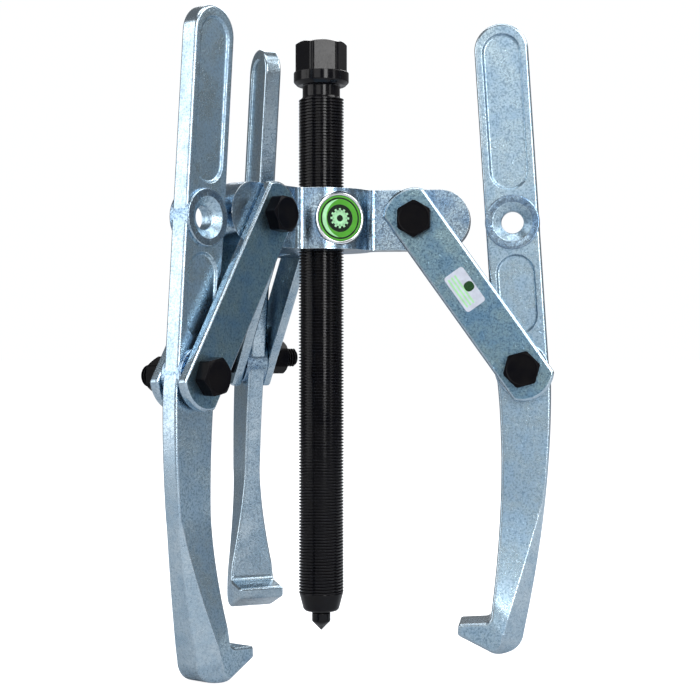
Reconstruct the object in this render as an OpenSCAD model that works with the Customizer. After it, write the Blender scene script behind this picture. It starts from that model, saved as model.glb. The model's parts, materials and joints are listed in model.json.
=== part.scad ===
// Three-arm gear puller: a forged traverse on a pressure spindle, and three
// hooked jaws, each hung from the traverse by a pair of link plates.
// The origin is the apex of the pressure point, and the spindle runs up +Z.

/* [Traverse] */
// Height of the traverse along the spindle
traverse_h = 35; // [28:1:44]
// Radius of the round hub
hub_r = 29.5; // [27:0.5:36]
// Thickness of each lug, which the links straddle
lug_t = 14; // [11:0.5:18]
// Distance from the spindle axis to the lug's pivot hole
lug_pivot_r = 56; // [50:1:68]
// How far the lug runs on past its pivot hole
lug_overhang = 31.5; // [20:0.5:34]
// Radius of the fillet where a lug runs into the hub
lug_fillet_r = 7; // [3:0.5:9]
// Height of the pivot plane above the tip of the point, with the tool as drawn
pivot_z = 240; // [200:5:300]

/* [Spindle] */
// Outer diameter of the spindle thread
thread_d = 26.4; // [20:0.1:32]
// Length of the threaded part
thread_len = 291; // [240:1:360]
// Length of the plain taper below the thread
taper_len = 10.5; // [6:0.5:16]
// Diameter at the lower end of the taper
taper_end_d = 21; // [16:0.5:25]
// Diameter of the neck between thread and collar
neck_d = 22; // [16:0.5:26]
// Length of the neck
neck_len = 6.4; // [4:0.2:12]
// Diameter of the collar under the hexagon
collar_d = 32.4; // [30:0.2:40]
// Height of the collar, with its lower chamfer
collar_h = 8; // [5:0.5:14]
// Width across flats of the drive hexagon
hex_af = 27; // [22:1:32]
// Height of the drive hexagon
hex_h = 17.6; // [12:0.2:26]
// Turn of the drive hexagon about the spindle
hex_turn = 8.5; // [0:0.5:60]
// Radial clearance of the spindle in the traverse
spindle_clearance = 0.08; // [0.05:0.01:0.2]

/* [Pressure point] */
// Diameter of the point's head
point_d = 10.9; // [9:0.1:16]
// Height of the round part of the point's head
point_head_h = 5.1; // [3:0.1:9]
// Length of the bare shank between the head and the spindle
point_gap = 1.1; // [0.6:0.1:3]
// Diameter of the point's shank
shank_d = 8; // [6:0.1:8.6]
// Length of the shank inside the spindle
shank_len = 13; // [10:0.5:20]
// Diameter of the thrust ball above the shank
ball_d = 7.6; // [5:0.1:7.6]
// Radial clearance of the shank in the spindle's bore
shank_clearance = 0.08; // [0.05:0.01:0.2]

/* [Links] */
// Distance between the two pivots of a link
link_len = 106; // [90:1:125]
// Width of a link
link_w = 28.4; // [24:0.2:32]
// Thickness of a link
link_t = 6; // [4:0.5:9]
// Radius of a link's rounded end about its pivot
link_end_r = 18.5; // [17:0.5:21]

/* [Jaws] */
// Width of the jaw's straight leg
leg_w = 31; // [28:0.5:36]
// Thickness of the leg between the bosses
leg_t = 10.6; // [8:0.2:12]
// Distance between the two pivot holes
hole_pitch = 85; // [72:1:100]
// Distance from the upper hole to the top end of the leg
leg_top = 115; // [80:1:140]
// Distance from the lower hole down to the top of the toe
toe_drop = 143.5; // [120:0.5:170]
// How far the toe's tip lies inside the line of the holes
toe_reach = 45.5; // [42:0.5:56]
// Width of the hook across its toe
hook_w = 30; // [24:1:40]
// Diameter of the raised ring round each hole
boss_d = 31.5; // [29:0.5:34]
// Width of the recessed pockets in the leg's faces
pocket_w = 22; // [16:0.5:25]
// Depth of the pockets
pocket_depth = 1.5; // [0.5:0.1:2.5]

/* [Bolts and nuts] */
// Diameter of the pivot bolts
bolt_d = 12; // [10:0.5:12]
// Length of a bolt under its head
bolt_len = 45; // [40:1:60]
// Width across flats of the bolt heads and nuts
bolt_af = 19; // [17:1:22]
// Height of the bolt heads
head_h = 7.5; // [6:0.1:9]
// Height of the nuts
nut_h = 10.8; // [8:0.1:12]
// Radial clearance of a bolt in the links, lugs and jaws
bolt_clearance = 0.2; // [0.1:0.05:0.4]
// Free play between a link and what it straddles, on each side
side_play = 0.1; // [0.05:0.05:0.4]

/* [Pose of the arms] */
// Compass angle of the right arm about the spindle
right_azimuth = -7; // [-60:0.5:60]
// Distance from the spindle axis to the right jaw's lower pivot
right_jaw_r = 117.4; // [100:0.1:140]
// Lean of the right jaw's leg towards the spindle
right_lean = 3.7; // [0:0.1:10]
// Distance from the spindle axis to the front jaw's lower pivot
front_jaw_r = 112.8; // [100:0.1:140]
// Lean of the front jaw's leg towards the spindle
front_lean = 4.4; // [0:0.1:10]
// Distance from the spindle axis to the rear jaw's lower pivot
rear_jaw_r = 125.3; // [100:0.1:140]
// Lean of the rear jaw's leg towards the spindle
rear_lean = 9; // [0:0.1:10]

/* [Badge and label] */
// Diameter of the green badge
badge_d = 26; // [20:0.5:27]
// Width of the bright rim round the badge
badge_rim_w = 2; // [1:0.1:2.5]
// Thickness of the badge
badge_t = 1.4; // [0.8:0.1:1.8]
// Length of the label on the right front link
label_len = 24; // [16:0.5:40]
// Width of the label
label_w = 13; // [8:0.5:20]

/* [Hidden] */
$fn = 96;

// how far a cut runs past the face it opens, and the least that keeps it from ending flush
over = 1;
sliver = 0.01;

// arms, counted right, front, rear: azimuth, angle of the links below the horizontal,
// lean of the jaw and side of the bolt heads
RIGHT = 0;
FRONT = 1;
REAR = 2;
azimuths = [right_azimuth, right_azimuth - 120, right_azimuth + 120];
sector_turns = [for (k = [0 : 2]) right_azimuth + 120 * k];
drops = [for (r = [right_jaw_r, front_jaw_r, rear_jaw_r]) acos((r - lug_pivot_r) / link_len)];
leans = [right_lean, front_lean, rear_lean];
head_sides = [-1, 1, 1];

// levels along the spindle, from the apex of the point upwards
point_cone_h = point_d / 2;
shank_z = point_cone_h + point_head_h;
spindle_z = shank_z + point_gap;
thread_z = spindle_z + taper_len;
neck_z = thread_z + thread_len;
collar_z = neck_z + neck_len;
hex_z = collar_z + collar_h;
collar_chamfer = 2.2;
taper_chamfer = 1.2;
thread_runout = 1.5;

// the point and its seat inside the spindle
point_chamfer = 0.6;
shank_chamfer = 0.5;
seat_depth = shank_len + ball_d;
ring_groove_rise = 5;
ring_groove_z = spindle_z + ring_groove_rise;
ring_groove_h = 1.4;
ring_groove_depth = 0.9;
ring_play = 0.1;

// the traverse
lug_end_r = traverse_h / 2;
lug_end_x = lug_pivot_r + lug_overhang - lug_end_r;
rim_steps = 20;
fillet_steps = 8;
hub_steps = 18;
badge_sink = 2.4;
badge_play = 0.3;
badge_fit = 0.05;
badge_rim_stand = 0.5;
badge_face_r = hub_r - badge_sink;
badge_recess_d = badge_d + 2 * (badge_rim_w + badge_play);
badge_rim_t = badge_t + badge_rim_stand;

// across an arm
link_in = lug_t / 2 + side_play;
link_out = link_in + link_t;
hole_d = bolt_d + 2 * bolt_clearance;
nut_bore_play = 0.05;
tip_chamfer = 1.2;
shank_root = 0.5;
hex_chamfer_inset = 0.2;
hex_chamfer_slope = 0.5;
countersink_d = 22;
countersink_depth = 3;
spare_hole_d = 13;

// the jaw's outline, in millimetres out from and up from the lower hole
leg_half = leg_w / 2;
apex_z = hole_pitch + leg_top - leg_half;
heel_r = 12.7;
heel = [-21.3, -toe_drop - 6.1];
toe_angle = 30;
toe_fillet_r = 4;
nose_chamfer = 1;
nose_lean = 0.6;
chin_chamfer = 1.6;
fillet_arc_steps = 6;
heel_arc_steps = 4;
inner_foot = [-26.6, -toe_drop];
heel_turn = -8;
outer_foot = heel + heel_r * [cos(heel_turn), sin(heel_turn)];
// handles of the two curved edges, at their upper and lower ends
inner_bend = [inner_foot.x + 13.4, -50];
outer_bend = [13.6, -56];
inner_handle = [8, 45];
outer_handle = [14, 50];
bend_start = -9;
inner_step = 1;
outer_step = 0.6;
halvings = 18;
// share of the lower leg's curves that is flat plate, and where the flaring loft begins in it
leg_share = 0.5;
loft_share = 0.45;
flare_start = -74;
flare_power = 1.5;
flare_steps = 18;
heel_share = 0.97;
heel_steps = 5;
// the hook's outer bevel, and the crown that it leaves in the middle
bevel_break = 0.6;
bevel_run = 11;
bevel_power = 0.8;
bevel_land = 1;
crown_half = 4.2;
crown_share = 0.3;
crown_land = 0.4;
// flat border round the pockets
pocket_land = 3;
label_t = 0.3;
label_corner_r = 2;
label_place = 0.47;

// ---------- helpers ----------

// Point at t along a cubic curve from a to d with handles b and c
function bezier(a, b, c, d, t) =
    pow(1 - t, 3) * a + 3 * t * pow(1 - t, 2) * b + 3 * t * t * (1 - t) * c + pow(t, 3) * d;

// Points along a circular arc
function arc(centre, r, from, to, steps) =
    [for (i = [0 : steps]) let (a = from + (to - from) * i / steps) centre + r * [cos(a), sin(a)]];

// Inner and outer edge of the jaw's lower leg, at t from the lower hole to the foot
function inner_edge(t) =
    bezier([inner_step - leg_half, bend_start], inner_bend, inner_foot + inner_handle, inner_foot, t);
function outer_edge(t) =
    bezier([leg_half + outer_step, bend_start], outer_bend, outer_foot + outer_handle, outer_foot, t);

// x of an edge at height z, found by halving the stretch that holds it
function edge_x(edge, z, lo = 0, hi = 1, left = halvings) =
    let (t = (lo + hi) / 2, p = edge == "inner" ? inner_edge(t) : outer_edge(t))
    left == 0 ? p.x
    : p.y > z ? edge_x(edge, z, t, hi, left - 1) : edge_x(edge, z, lo, t, left - 1);

// How far the flare of the hook has come at height z, from 0 to 1
function flare(z) = max(0, min(1, (flare_start - z) / (toe_drop + flare_start)));

// Half the width of the hook at height z
function hook_half(z) = leg_t / 2 + (hook_w - leg_t) / 2 * pow(flare(z), flare_power);

// x of the line where the hook's flat side turns into its outer bevel
function bevel_x(z) = edge_x("outer", z) - bevel_break - bevel_run * pow(flare(z), bevel_power);

module at_arm(i) {
    rotate([0, 0, azimuths[i]]) translate([lug_pivot_r, 0, pivot_z]) children();
}

// Link frame: pivot at the origin, the link along +X
module at_link(i) {
    at_arm(i) rotate([0, drops[i], 0]) children();
}

// Jaw frame: lower hole at the origin, the leg up +Z, outward +X
module at_jaw(i) {
    at_link(i) translate([link_len, 0, 0]) rotate([0, -drops[i] - leans[i], 0]) children();
}

// Across the arm: the child's +Z points to side +1 or -1 of the arm
module across(side) {
    rotate([-90 * side, 0, 0]) children();
}

// Extrude an outline drawn in (out, up) to a plate centred on the arm's plane
module plate(thick) {
    rotate([90, 0, 0]) linear_extrude(thick, center = true) children();
}

// Hexagonal prism with its upper, and if asked its lower, corners chamfered round
module hexagon(af, h, both = false) {
    corner_r = af / sqrt(3);
    inner_r = af / 2 - hex_chamfer_inset;
    outer_r = corner_r + over;
    rise = (outer_r - inner_r) * hex_chamfer_slope;
    intersection() {
        cylinder(r = corner_r, h = h, $fn = 6);
        rotate_extrude() polygon(concat(
            [[0, 0]], both ? [[inner_r, 0], [outer_r, rise]] : [[outer_r, 0]],
            [[outer_r, h - rise], [inner_r, h], [0, h]]
        ));
    }
}

// ---------- traverse and badge ----------

// Point p turned about the origin
function turned(p, angle) =
    [p.x * cos(angle) - p.y * sin(angle), p.x * sin(angle) + p.y * cos(angle)];

// Outline from one side of the lug at angle turn, round the hub, to the next lug
function hub_sector(turn) =
    let (reach = sqrt(pow(hub_r + lug_fillet_r, 2) - pow(lug_t / 2 + lug_fillet_r, 2)),
         centre = [reach, lug_t / 2 + lug_fillet_r],
         lean = atan2(centre.y, centre.x),
         hub = arc([0, 0], hub_r, lean, 120 - lean, hub_steps),
         far = lug_end_x + 2 * lug_end_r)
    [for (p = concat(
        [[far, lug_t / 2]], arc(centre, lug_fillet_r, 270, 180 + lean, fillet_steps),
        [for (k = [1 : hub_steps - 1]) hub[k]],
        [for (q = arc([centre.x, -centre.y], lug_fillet_r, 180 - lean, 90, fillet_steps)) turned(q, 120)],
        [turned([far, -lug_t / 2], 120)]
    )) turned(p, turn)];

module at_badge() {
    rotate([0, 0, right_azimuth - 60]) translate([badge_face_r, 0, pivot_z])
        rotate([0, 90, 0]) children();
}

// Round blank of the traverse, whose rim gives every lug its rounded end
module traverse_blank() {
    rotate_extrude() polygon(concat(
        [[0, -lug_end_r]], arc([lug_end_x, 0], lug_end_r, -90, 90, rim_steps), [[0, lug_end_r]]
    ));
}

module traverse() {
    color("lightsteelblue") difference() {
        translate([0, 0, pivot_z]) intersection() {
            traverse_blank();
            linear_extrude(2 * traverse_h, center = true)
                polygon([for (turn = sector_turns) each hub_sector(turn)]);
        }
        translate([0, 0, pivot_z - traverse_h])
            cylinder(d = thread_d + 2 * spindle_clearance, h = 2 * traverse_h);
        for (i = [RIGHT : REAR]) at_arm(i) rotate([90, 0, 0])
            cylinder(d = hole_d, h = 2 * lug_t, center = true);
        at_badge() cylinder(d = badge_recess_d, h = hub_r);
    }
}

module badge_rim() {
    color("gainsboro") at_badge() difference() {
        cylinder(d = badge_d + 2 * badge_rim_w, h = badge_rim_t);
        translate([0, 0, -over]) cylinder(d = badge_d + 2 * badge_fit, h = badge_rim_t + 2 * over);
    }
}

module badge() {
    color("limegreen") at_badge() cylinder(d = badge_d, h = badge_t);
}

// ---------- spindle and pressure point ----------

module spindle() {
    seat_r = shank_d / 2 + shank_clearance;
    color("dimgray") {
        difference() {
            rotate_extrude() polygon([
                [0, spindle_z], [taper_end_d / 2 - taper_chamfer, spindle_z],
                [taper_end_d / 2, spindle_z + taper_chamfer], [thread_d / 2, thread_z],
                [thread_d / 2, neck_z - thread_runout], [neck_d / 2, neck_z],
                [neck_d / 2, collar_z], [collar_d / 2 - collar_chamfer, collar_z],
                [collar_d / 2, collar_z + collar_chamfer], [collar_d / 2, hex_z], [0, hex_z]
            ]);
            translate([0, 0, spindle_z - over]) cylinder(r = seat_r, h = seat_depth + over);
            translate([0, 0, ring_groove_z]) cylinder(r = seat_r + ring_groove_depth, h = ring_groove_h);
        }
        translate([0, 0, hex_z]) rotate(hex_turn) hexagon(hex_af, hex_h);
    }
}

module pressure_point() {
    r = shank_d / 2;
    color("dimgray") rotate_extrude() polygon([
        [0, 0], [point_d / 2, point_cone_h], [point_d / 2, shank_z - point_chamfer],
        [point_d / 2 - point_chamfer, shank_z], [r, shank_z], [r, ring_groove_z],
        [r - ring_groove_depth, ring_groove_z],
        [r - ring_groove_depth, ring_groove_z + ring_groove_h], [r, ring_groove_z + ring_groove_h],
        [r, spindle_z + shank_len - shank_chamfer], [r - shank_chamfer, spindle_z + shank_len],
        [0, spindle_z + shank_len]
    ]);
}

module thrust_ball() {
    color("silver") translate([0, 0, spindle_z + shank_len + ball_d / 2]) sphere(d = ball_d);
}

// Wire ring that is half in the shank's groove and half in the spindle's
module point_ring() {
    r_in = shank_d / 2 - ring_groove_depth + ring_play;
    r_out = shank_d / 2 + shank_clearance + ring_groove_depth - ring_play;
    color("silver") translate([0, 0, ring_groove_z + ring_play]) difference() {
        cylinder(r = r_out, h = ring_groove_h - 2 * ring_play);
        translate([0, 0, -over]) cylinder(r = r_in, h = ring_groove_h + 2 * over);
    }
}

// ---------- jaws ----------

// Straight upper leg with its round top end, drawn in (out, up)
module leg_outline() {
    translate([0, apex_z]) circle(leg_half);
    polygon(concat(
        [[-leg_half, apex_z], [leg_half, apex_z], [leg_half, 0]],
        [for (i = [0 : flare_steps]) let (t = leg_share * i / flare_steps) outer_edge(t)],
        [for (i = [flare_steps : -1 : 0]) let (t = leg_share * i / flare_steps) inner_edge(t)],
        [[-leg_half, 0]]
    ));
}

// Six corners of the hook's section at height z
function hook_section(z) =
    let (w = hook_half(z), outer = z > outer_foot.y ? edge_x("outer", z) : heel_x(z),
         inner = z > inner_foot.y ? edge_x("inner", z) : inner_foot.x,
         bevel = max(inner + bevel_land, min(outer - bevel_land / 2, bevel_x(max(z, outer_foot.y)))),
         crown = min(w - crown_land, crown_half + (w - leg_t / 2) * crown_share))
    [[inner, -w, z], [bevel, -w, z], [outer, -crown, z], [outer, crown, z], [bevel, w, z], [inner, w, z]];

// x of the round heel at height z
function heel_x(z) = heel.x + sqrt(max(sliver, heel_r * heel_r - pow(z - heel.y, 2)));

// Lower leg, flaring into the heel of the hook, as one loft of sections
module hook_loft() {
    top = outer_edge(loft_share).y;
    bottom = heel.y - heel_r * heel_share;
    heights = concat(
        [for (i = [0 : flare_steps]) top + (outer_foot.y - top) * i / flare_steps],
        [for (i = [1 : heel_steps]) outer_foot.y + (bottom - outer_foot.y) * i / heel_steps]
    );
    n = len(heights);
    polyhedron(
        points = [for (z = heights) each hook_section(z)],
        faces = concat(
            [[5, 4, 3, 2, 1, 0]],
            [for (k = [0 : n - 2], j = [0 : 5]) let (a = 6 * k + j, b = 6 * k + (j + 1) % 6)
                each [[a, b, b + 6], [a, b + 6, a + 6]]],
            [[for (j = [0 : 5]) 6 * (n - 1) + j]]
        )
    );
}

// Toe and heel of the hook, drawn in (out, up) and as wide as the hook
module toe_outline() {
    under = [-sin(toe_angle), -cos(toe_angle)];
    tangent = heel + heel_r * under;
    tip_z = tangent.y + (tangent.x + toe_reach) * tan(toe_angle);
    polygon(concat(
        [[inner_foot.x + toe_fillet_r, -toe_drop + toe_fillet_r]],
        arc([inner_foot.x - toe_fillet_r, -toe_drop + toe_fillet_r], toe_fillet_r, 0, -90, fillet_arc_steps),
        [[nose_chamfer - toe_reach, -toe_drop], [-toe_reach, -toe_drop - nose_chamfer],
         [-toe_reach - nose_lean, tip_z + chin_chamfer],
         [-toe_reach + chin_chamfer / 2, tip_z - chin_chamfer / 2 * tan(toe_angle)], tangent],
        arc(heel, heel_r, 270 - toe_angle, 270, heel_arc_steps),
        [[heel.x, -toe_drop]]
    ));
}

// Round-ended pocket between two heights, drawn in (out, up)
module pocket_outline(low, high) {
    r = pocket_w / 2;
    translate([-r, low + r]) square([pocket_w, high - low - pocket_w]);
    for (z = [low + r, high - r]) translate([0, z]) circle(r);
}

module jaw(i) {
    color("lightsteelblue") at_jaw(i) difference() {
        union() {
            plate(leg_t) leg_outline();
            hook_loft();
            plate(hook_w) toe_outline();
            for (z = [0, hole_pitch]) translate([0, 0, z]) rotate([90, 0, 0])
                cylinder(d = boss_d, h = lug_t, center = true);
        }
        rotate([90, 0, 0]) cylinder(d = hole_d, h = 2 * lug_t, center = true);
        translate([0, 0, hole_pitch]) rotate([90, 0, 0])
            cylinder(d = spare_hole_d, h = 2 * lug_t, center = true);
        for (side = [-1, 1]) {
            translate([0, side * lug_t / 2, hole_pitch]) across(side)
                translate([0, 0, -countersink_depth])
                    cylinder(d1 = spare_hole_d, d2 = countersink_d, h = countersink_depth + sliver);
            translate([0, side * (leg_t / 2), 0]) plate(2 * pocket_depth) {
                pocket_outline(hole_pitch + boss_d / 2 + pocket_land, apex_z + leg_half - 2 * pocket_land);
                pocket_outline(boss_d / 2 + 1.5 * pocket_land, hole_pitch - boss_d / 2 - pocket_land);
            }
        }
    }
}

// ---------- links ----------

module link(i, side) {
    centre = side * (link_in + link_t / 2);
    color("lightsteelblue") at_link(i) translate([0, centre, 0]) difference() {
        plate(link_t) {
            translate([0, -link_w / 2]) square([link_len, link_w]);
            for (x = [0, link_len]) translate([x, 0]) intersection() {
                circle(link_end_r);
                square([2 * link_end_r, link_w], center = true);
            }
        }
        for (x = [0, link_len]) translate([x, 0, 0]) rotate([90, 0, 0])
            cylinder(d = hole_d, h = 2 * link_t, center = true);
    }
}

module link_label() {
    side = head_sides[RIGHT];
    color("white") at_link(RIGHT) translate([link_len * label_place, side * (link_out + label_t / 2), 0])
        plate(label_t) {
            square([label_len - 2 * label_corner_r, label_w], center = true);
            square([label_len, label_w - 2 * label_corner_r], center = true);
            for (x = [-1, 1], y = [-1, 1])
                translate([x * (label_len / 2 - label_corner_r), y * (label_w / 2 - label_corner_r)])
                    circle(label_corner_r);
        }
}

// ---------- bolts and nuts ----------

// Hexagon bolt on the head side of arm i, at distance x along the link and turned about its axis
module bolt(i, x, turn) {
    side = head_sides[i];
    r = bolt_d / 2;
    color("black") at_link(i) translate([x, side * link_out, 0]) across(side) {
        rotate(turn) hexagon(bolt_af, head_h);
        rotate_extrude() polygon([
            [0, -bolt_len], [r - tip_chamfer, -bolt_len], [r, tip_chamfer - bolt_len],
            [r, shank_root], [0, shank_root]
        ]);
    }
}

module nut(i, x, turn) {
    side = -head_sides[i];
    color("black") at_link(i) translate([x, side * link_out, 0]) across(side) difference() {
        rotate(turn) hexagon(bolt_af, nut_h, both = true);
        translate([0, 0, -over]) cylinder(r = bolt_d / 2 + nut_bore_play, h = nut_h + 2 * over);
    }
}

traverse();
badge_rim();
badge();
spindle();
pressure_point();
thrust_ball();
point_ring();
jaw(RIGHT);  // jaw_right
jaw(FRONT);  // jaw_front
jaw(REAR);  // jaw_rear
link(RIGHT, head_sides[RIGHT]);  // link_right_head
link(RIGHT, -head_sides[RIGHT]);  // link_right_nut
link(FRONT, head_sides[FRONT]);  // link_front_head
link(FRONT, -head_sides[FRONT]);  // link_front_nut
link(REAR, head_sides[REAR]);  // link_rear_head
link(REAR, -head_sides[REAR]);  // link_rear_nut
link_label();
bolt(RIGHT, 0, drops[RIGHT]);  // lug_bolt_right
bolt(FRONT, 0, drops[FRONT]);  // lug_bolt_front
bolt(REAR, 0, drops[REAR]);  // lug_bolt_rear
bolt(RIGHT, link_len, drops[RIGHT] + 15);  // jaw_bolt_right
bolt(FRONT, link_len, drops[FRONT] + 15);  // jaw_bolt_front
bolt(REAR, link_len, drops[REAR] + 15);  // jaw_bolt_rear
nut(RIGHT, 0, drops[RIGHT]);  // lug_nut_right
nut(FRONT, 0, drops[FRONT]);  // lug_nut_front
nut(REAR, 0, drops[REAR]);  // lug_nut_rear
nut(RIGHT, link_len, drops[RIGHT] + 30);  // jaw_nut_right
nut(FRONT, link_len, drops[FRONT] + 30);  // jaw_nut_front
nut(REAR, link_len, drops[REAR] + 30);  // jaw_nut_rear
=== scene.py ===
"""Three-arm gear puller: zinc-plated forgings, blackened screw and bolts, round enamel badge."""

import json
import logging
import math
from collections.abc import Callable, Iterable, Sequence
from dataclasses import dataclass, field
from enum import Enum

import bmesh
import bpy
from mathutils import Matrix, Vector


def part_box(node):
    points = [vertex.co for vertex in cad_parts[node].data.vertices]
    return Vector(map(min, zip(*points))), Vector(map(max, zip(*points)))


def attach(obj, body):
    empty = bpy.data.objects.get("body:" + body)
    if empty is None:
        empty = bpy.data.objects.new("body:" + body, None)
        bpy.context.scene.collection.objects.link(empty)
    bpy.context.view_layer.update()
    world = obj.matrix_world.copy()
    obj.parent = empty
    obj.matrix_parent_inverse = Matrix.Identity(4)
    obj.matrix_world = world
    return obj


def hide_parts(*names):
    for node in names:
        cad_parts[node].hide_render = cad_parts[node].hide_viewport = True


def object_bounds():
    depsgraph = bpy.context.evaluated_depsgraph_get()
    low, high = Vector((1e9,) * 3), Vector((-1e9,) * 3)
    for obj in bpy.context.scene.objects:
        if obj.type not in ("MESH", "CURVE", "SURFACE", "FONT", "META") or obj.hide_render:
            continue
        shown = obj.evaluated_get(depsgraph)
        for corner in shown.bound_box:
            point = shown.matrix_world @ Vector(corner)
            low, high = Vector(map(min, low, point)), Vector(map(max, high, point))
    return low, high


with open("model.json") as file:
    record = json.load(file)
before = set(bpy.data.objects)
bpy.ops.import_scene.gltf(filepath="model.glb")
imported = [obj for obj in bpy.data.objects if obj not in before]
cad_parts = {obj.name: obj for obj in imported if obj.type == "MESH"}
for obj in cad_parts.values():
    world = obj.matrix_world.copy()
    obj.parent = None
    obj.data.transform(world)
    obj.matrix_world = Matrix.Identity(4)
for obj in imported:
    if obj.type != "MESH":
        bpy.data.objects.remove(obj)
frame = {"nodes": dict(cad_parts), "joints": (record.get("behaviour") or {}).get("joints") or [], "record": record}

CAD_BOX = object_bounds()
MM = 0.001
SMOOTH_ANGLE = math.radians(32)
MERGE_DISTANCE = 1e-4
SHORTEST_EDGE = 1e-5
ON_AXIS = 1e-6
LONGEST_ROUNDING = 0.48

log = logging.getLogger("gear_puller")

Point2 = tuple[float, float]


class Surface(Enum):
    """Which of a forging's surfaces a face belongs to, as its material index."""

    FORGED = 0
    POLISHED = 1
    GROUND = 2


class Arm(Enum):
    """The three arms, and on which side of each arm its bolt heads are."""

    RIGHT = ("right", -1)
    FRONT = ("front", 1)
    REAR = ("rear", 1)

    @property
    def label(self) -> str:
        """The arm's name in the frame."""
        return self.value[0]

    @property
    def head_side(self) -> int:
        """+1 or -1 along the arm's across axis."""
        return self.value[1]


# ---------------------------------------------------------------- frame


def joint(name: str) -> dict:
    """The frame's joint of that name.

    Args:
        name: Name of the joint.

    Returns:
        Its entry, with its place and axis.
    """
    return next(j for j in frame["joints"] if j["name"] == name)


def mount(name: str) -> dict:
    """The record's mount of that name.

    Args:
        name: Name of the mount.

    Returns:
        Its entry, with its place.
    """
    return next(m for m in frame["record"]["mounts"] if m["name"] == name)


def axes_matrix(origin: Vector, x: Vector, y: Vector, z: Vector) -> Matrix:
    """Matrix that takes millimetres in a local frame to metres in the part's frame.

    Args:
        origin: Where the local origin lies, in metres.
        x: Direction of the local X axis.
        y: Direction of the local Y axis.
        z: Direction of the local Z axis.

    Returns:
        The 4x4 matrix.
    """
    turn = Matrix((x, y, z)).transposed().to_4x4()
    return Matrix.Translation(origin) @ turn @ Matrix.Scale(MM, 4)


@dataclass(frozen=True)
class ArmFrame:
    """Where one arm's pivots and directions lie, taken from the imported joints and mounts."""

    arm: Arm

    @property
    def lug_pivot(self) -> Vector:
        """Pivot of the links on the traverse."""
        return Vector(joint(f"{self.arm.label}_links_swing")["pos_m"])

    @property
    def jaw_pivot(self) -> Vector:
        """Pivot of the jaw on the links."""
        return Vector(joint(f"{self.arm.label}_jaw_swing")["pos_m"])

    @property
    def across(self) -> Vector:
        """Axis of the pivots, a quarter turn left of the arm's outward direction."""
        return -Vector(joint(f"{self.arm.label}_links_swing")["axis"]).normalized()

    @property
    def outward(self) -> Vector:
        """Level direction from the spindle out along the arm."""
        return self.across.cross(Vector((0, 0, 1))).normalized()

    @property
    def azimuth(self) -> float:
        """Compass angle of the arm about the spindle, in degrees."""
        return math.degrees(math.atan2(self.outward.y, self.outward.x))

    @property
    def arm_matrix(self) -> Matrix:
        """Arm frame: lug pivot at the origin, outward +X, up +Z."""
        return axes_matrix(self.lug_pivot, self.outward, self.across, Vector((0, 0, 1)))

    @property
    def link_matrix(self) -> Matrix:
        """Link frame: lug pivot at the origin, the link along +X."""
        along = (self.jaw_pivot - self.lug_pivot).normalized()
        return axes_matrix(self.lug_pivot, along, self.across, along.cross(self.across))

    @property
    def jaw_matrix(self) -> Matrix:
        """Jaw frame: lower hole at the origin, the leg up +Z, outward +X."""
        spare = Vector(mount(f"spare_hole_{self.arm.label}")["pos_m"])
        up = (spare - self.jaw_pivot).normalized()
        return axes_matrix(self.jaw_pivot, self.across.cross(up), self.across, up)

    @property
    def link_length(self) -> float:
        """Distance between a link's pivots, in millimetres."""
        return (self.jaw_pivot - self.lug_pivot).length / MM

    @property
    def hole_pitch(self) -> float:
        """Distance between a jaw's two holes, in millimetres."""
        spare = Vector(mount(f"spare_hole_{self.arm.label}")["pos_m"])
        return (spare - self.jaw_pivot).length / MM


# ---------------------------------------------------------------- meshes


def new_mesh(
    name: str,
    verts: Iterable[Sequence[float]],
    faces: Iterable[Sequence[int]],
    surfaces: Sequence[int] | None = None,
) -> bpy.types.Mesh:
    """Closed mesh from points and faces, doubles merged and faces turned outwards.

    Args:
        name: Name of the mesh.
        verts: Points.
        faces: Lists of point indices.
        surfaces: Material index of each face; all 0 when left out.

    Returns:
        The mesh.
    """
    loops = [list(dict.fromkeys(face)) for face in faces]
    kept = [k for k, loop in enumerate(loops) if len(loop) > 2]
    mesh = bpy.data.meshes.new(name)
    mesh.from_pydata([tuple(v) for v in verts], [], [loops[k] for k in kept])
    if surfaces is not None:
        mesh.polygons.foreach_set("material_index", [surfaces[k] for k in kept])
    shell = bmesh.new()
    shell.from_mesh(mesh)
    bmesh.ops.remove_doubles(shell, verts=shell.verts, dist=MERGE_DISTANCE)
    bmesh.ops.dissolve_degenerate(shell, edges=shell.edges, dist=SHORTEST_EDGE)
    bmesh.ops.recalc_face_normals(shell, faces=shell.faces)
    shell.to_mesh(mesh)
    shell.free()
    return mesh


def painted(mesh: bpy.types.Mesh, surface: Surface) -> bpy.types.Mesh:
    """The mesh itself, with all its faces given to one surface.

    Args:
        mesh: Mesh to change.
        surface: Surface that its faces belong to.

    Returns:
        The same mesh.
    """
    mesh.polygons.foreach_set("material_index", [surface.value] * len(mesh.polygons))
    return mesh


def with_surfaces(mesh: bpy.types.Mesh) -> bpy.types.Mesh:
    """The mesh itself, with an empty material slot for each surface, so that a Boolean keeps them.

    Args:
        mesh: Mesh to change.

    Returns:
        The same mesh.
    """
    for _ in Surface:
        mesh.materials.append(None)
    return mesh


def joined(name: str, meshes: Iterable[bpy.types.Mesh]) -> bpy.types.Mesh:
    """One mesh that holds all the given ones, which are used up.

    Args:
        name: Name of the mesh.
        meshes: Meshes to put together.

    Returns:
        The new mesh.
    """
    shell = bmesh.new()
    for mesh in meshes:
        shell.from_mesh(mesh)
        bpy.data.meshes.remove(mesh)
    out = bpy.data.meshes.new(name)
    shell.to_mesh(out)
    shell.free()
    return out


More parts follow.
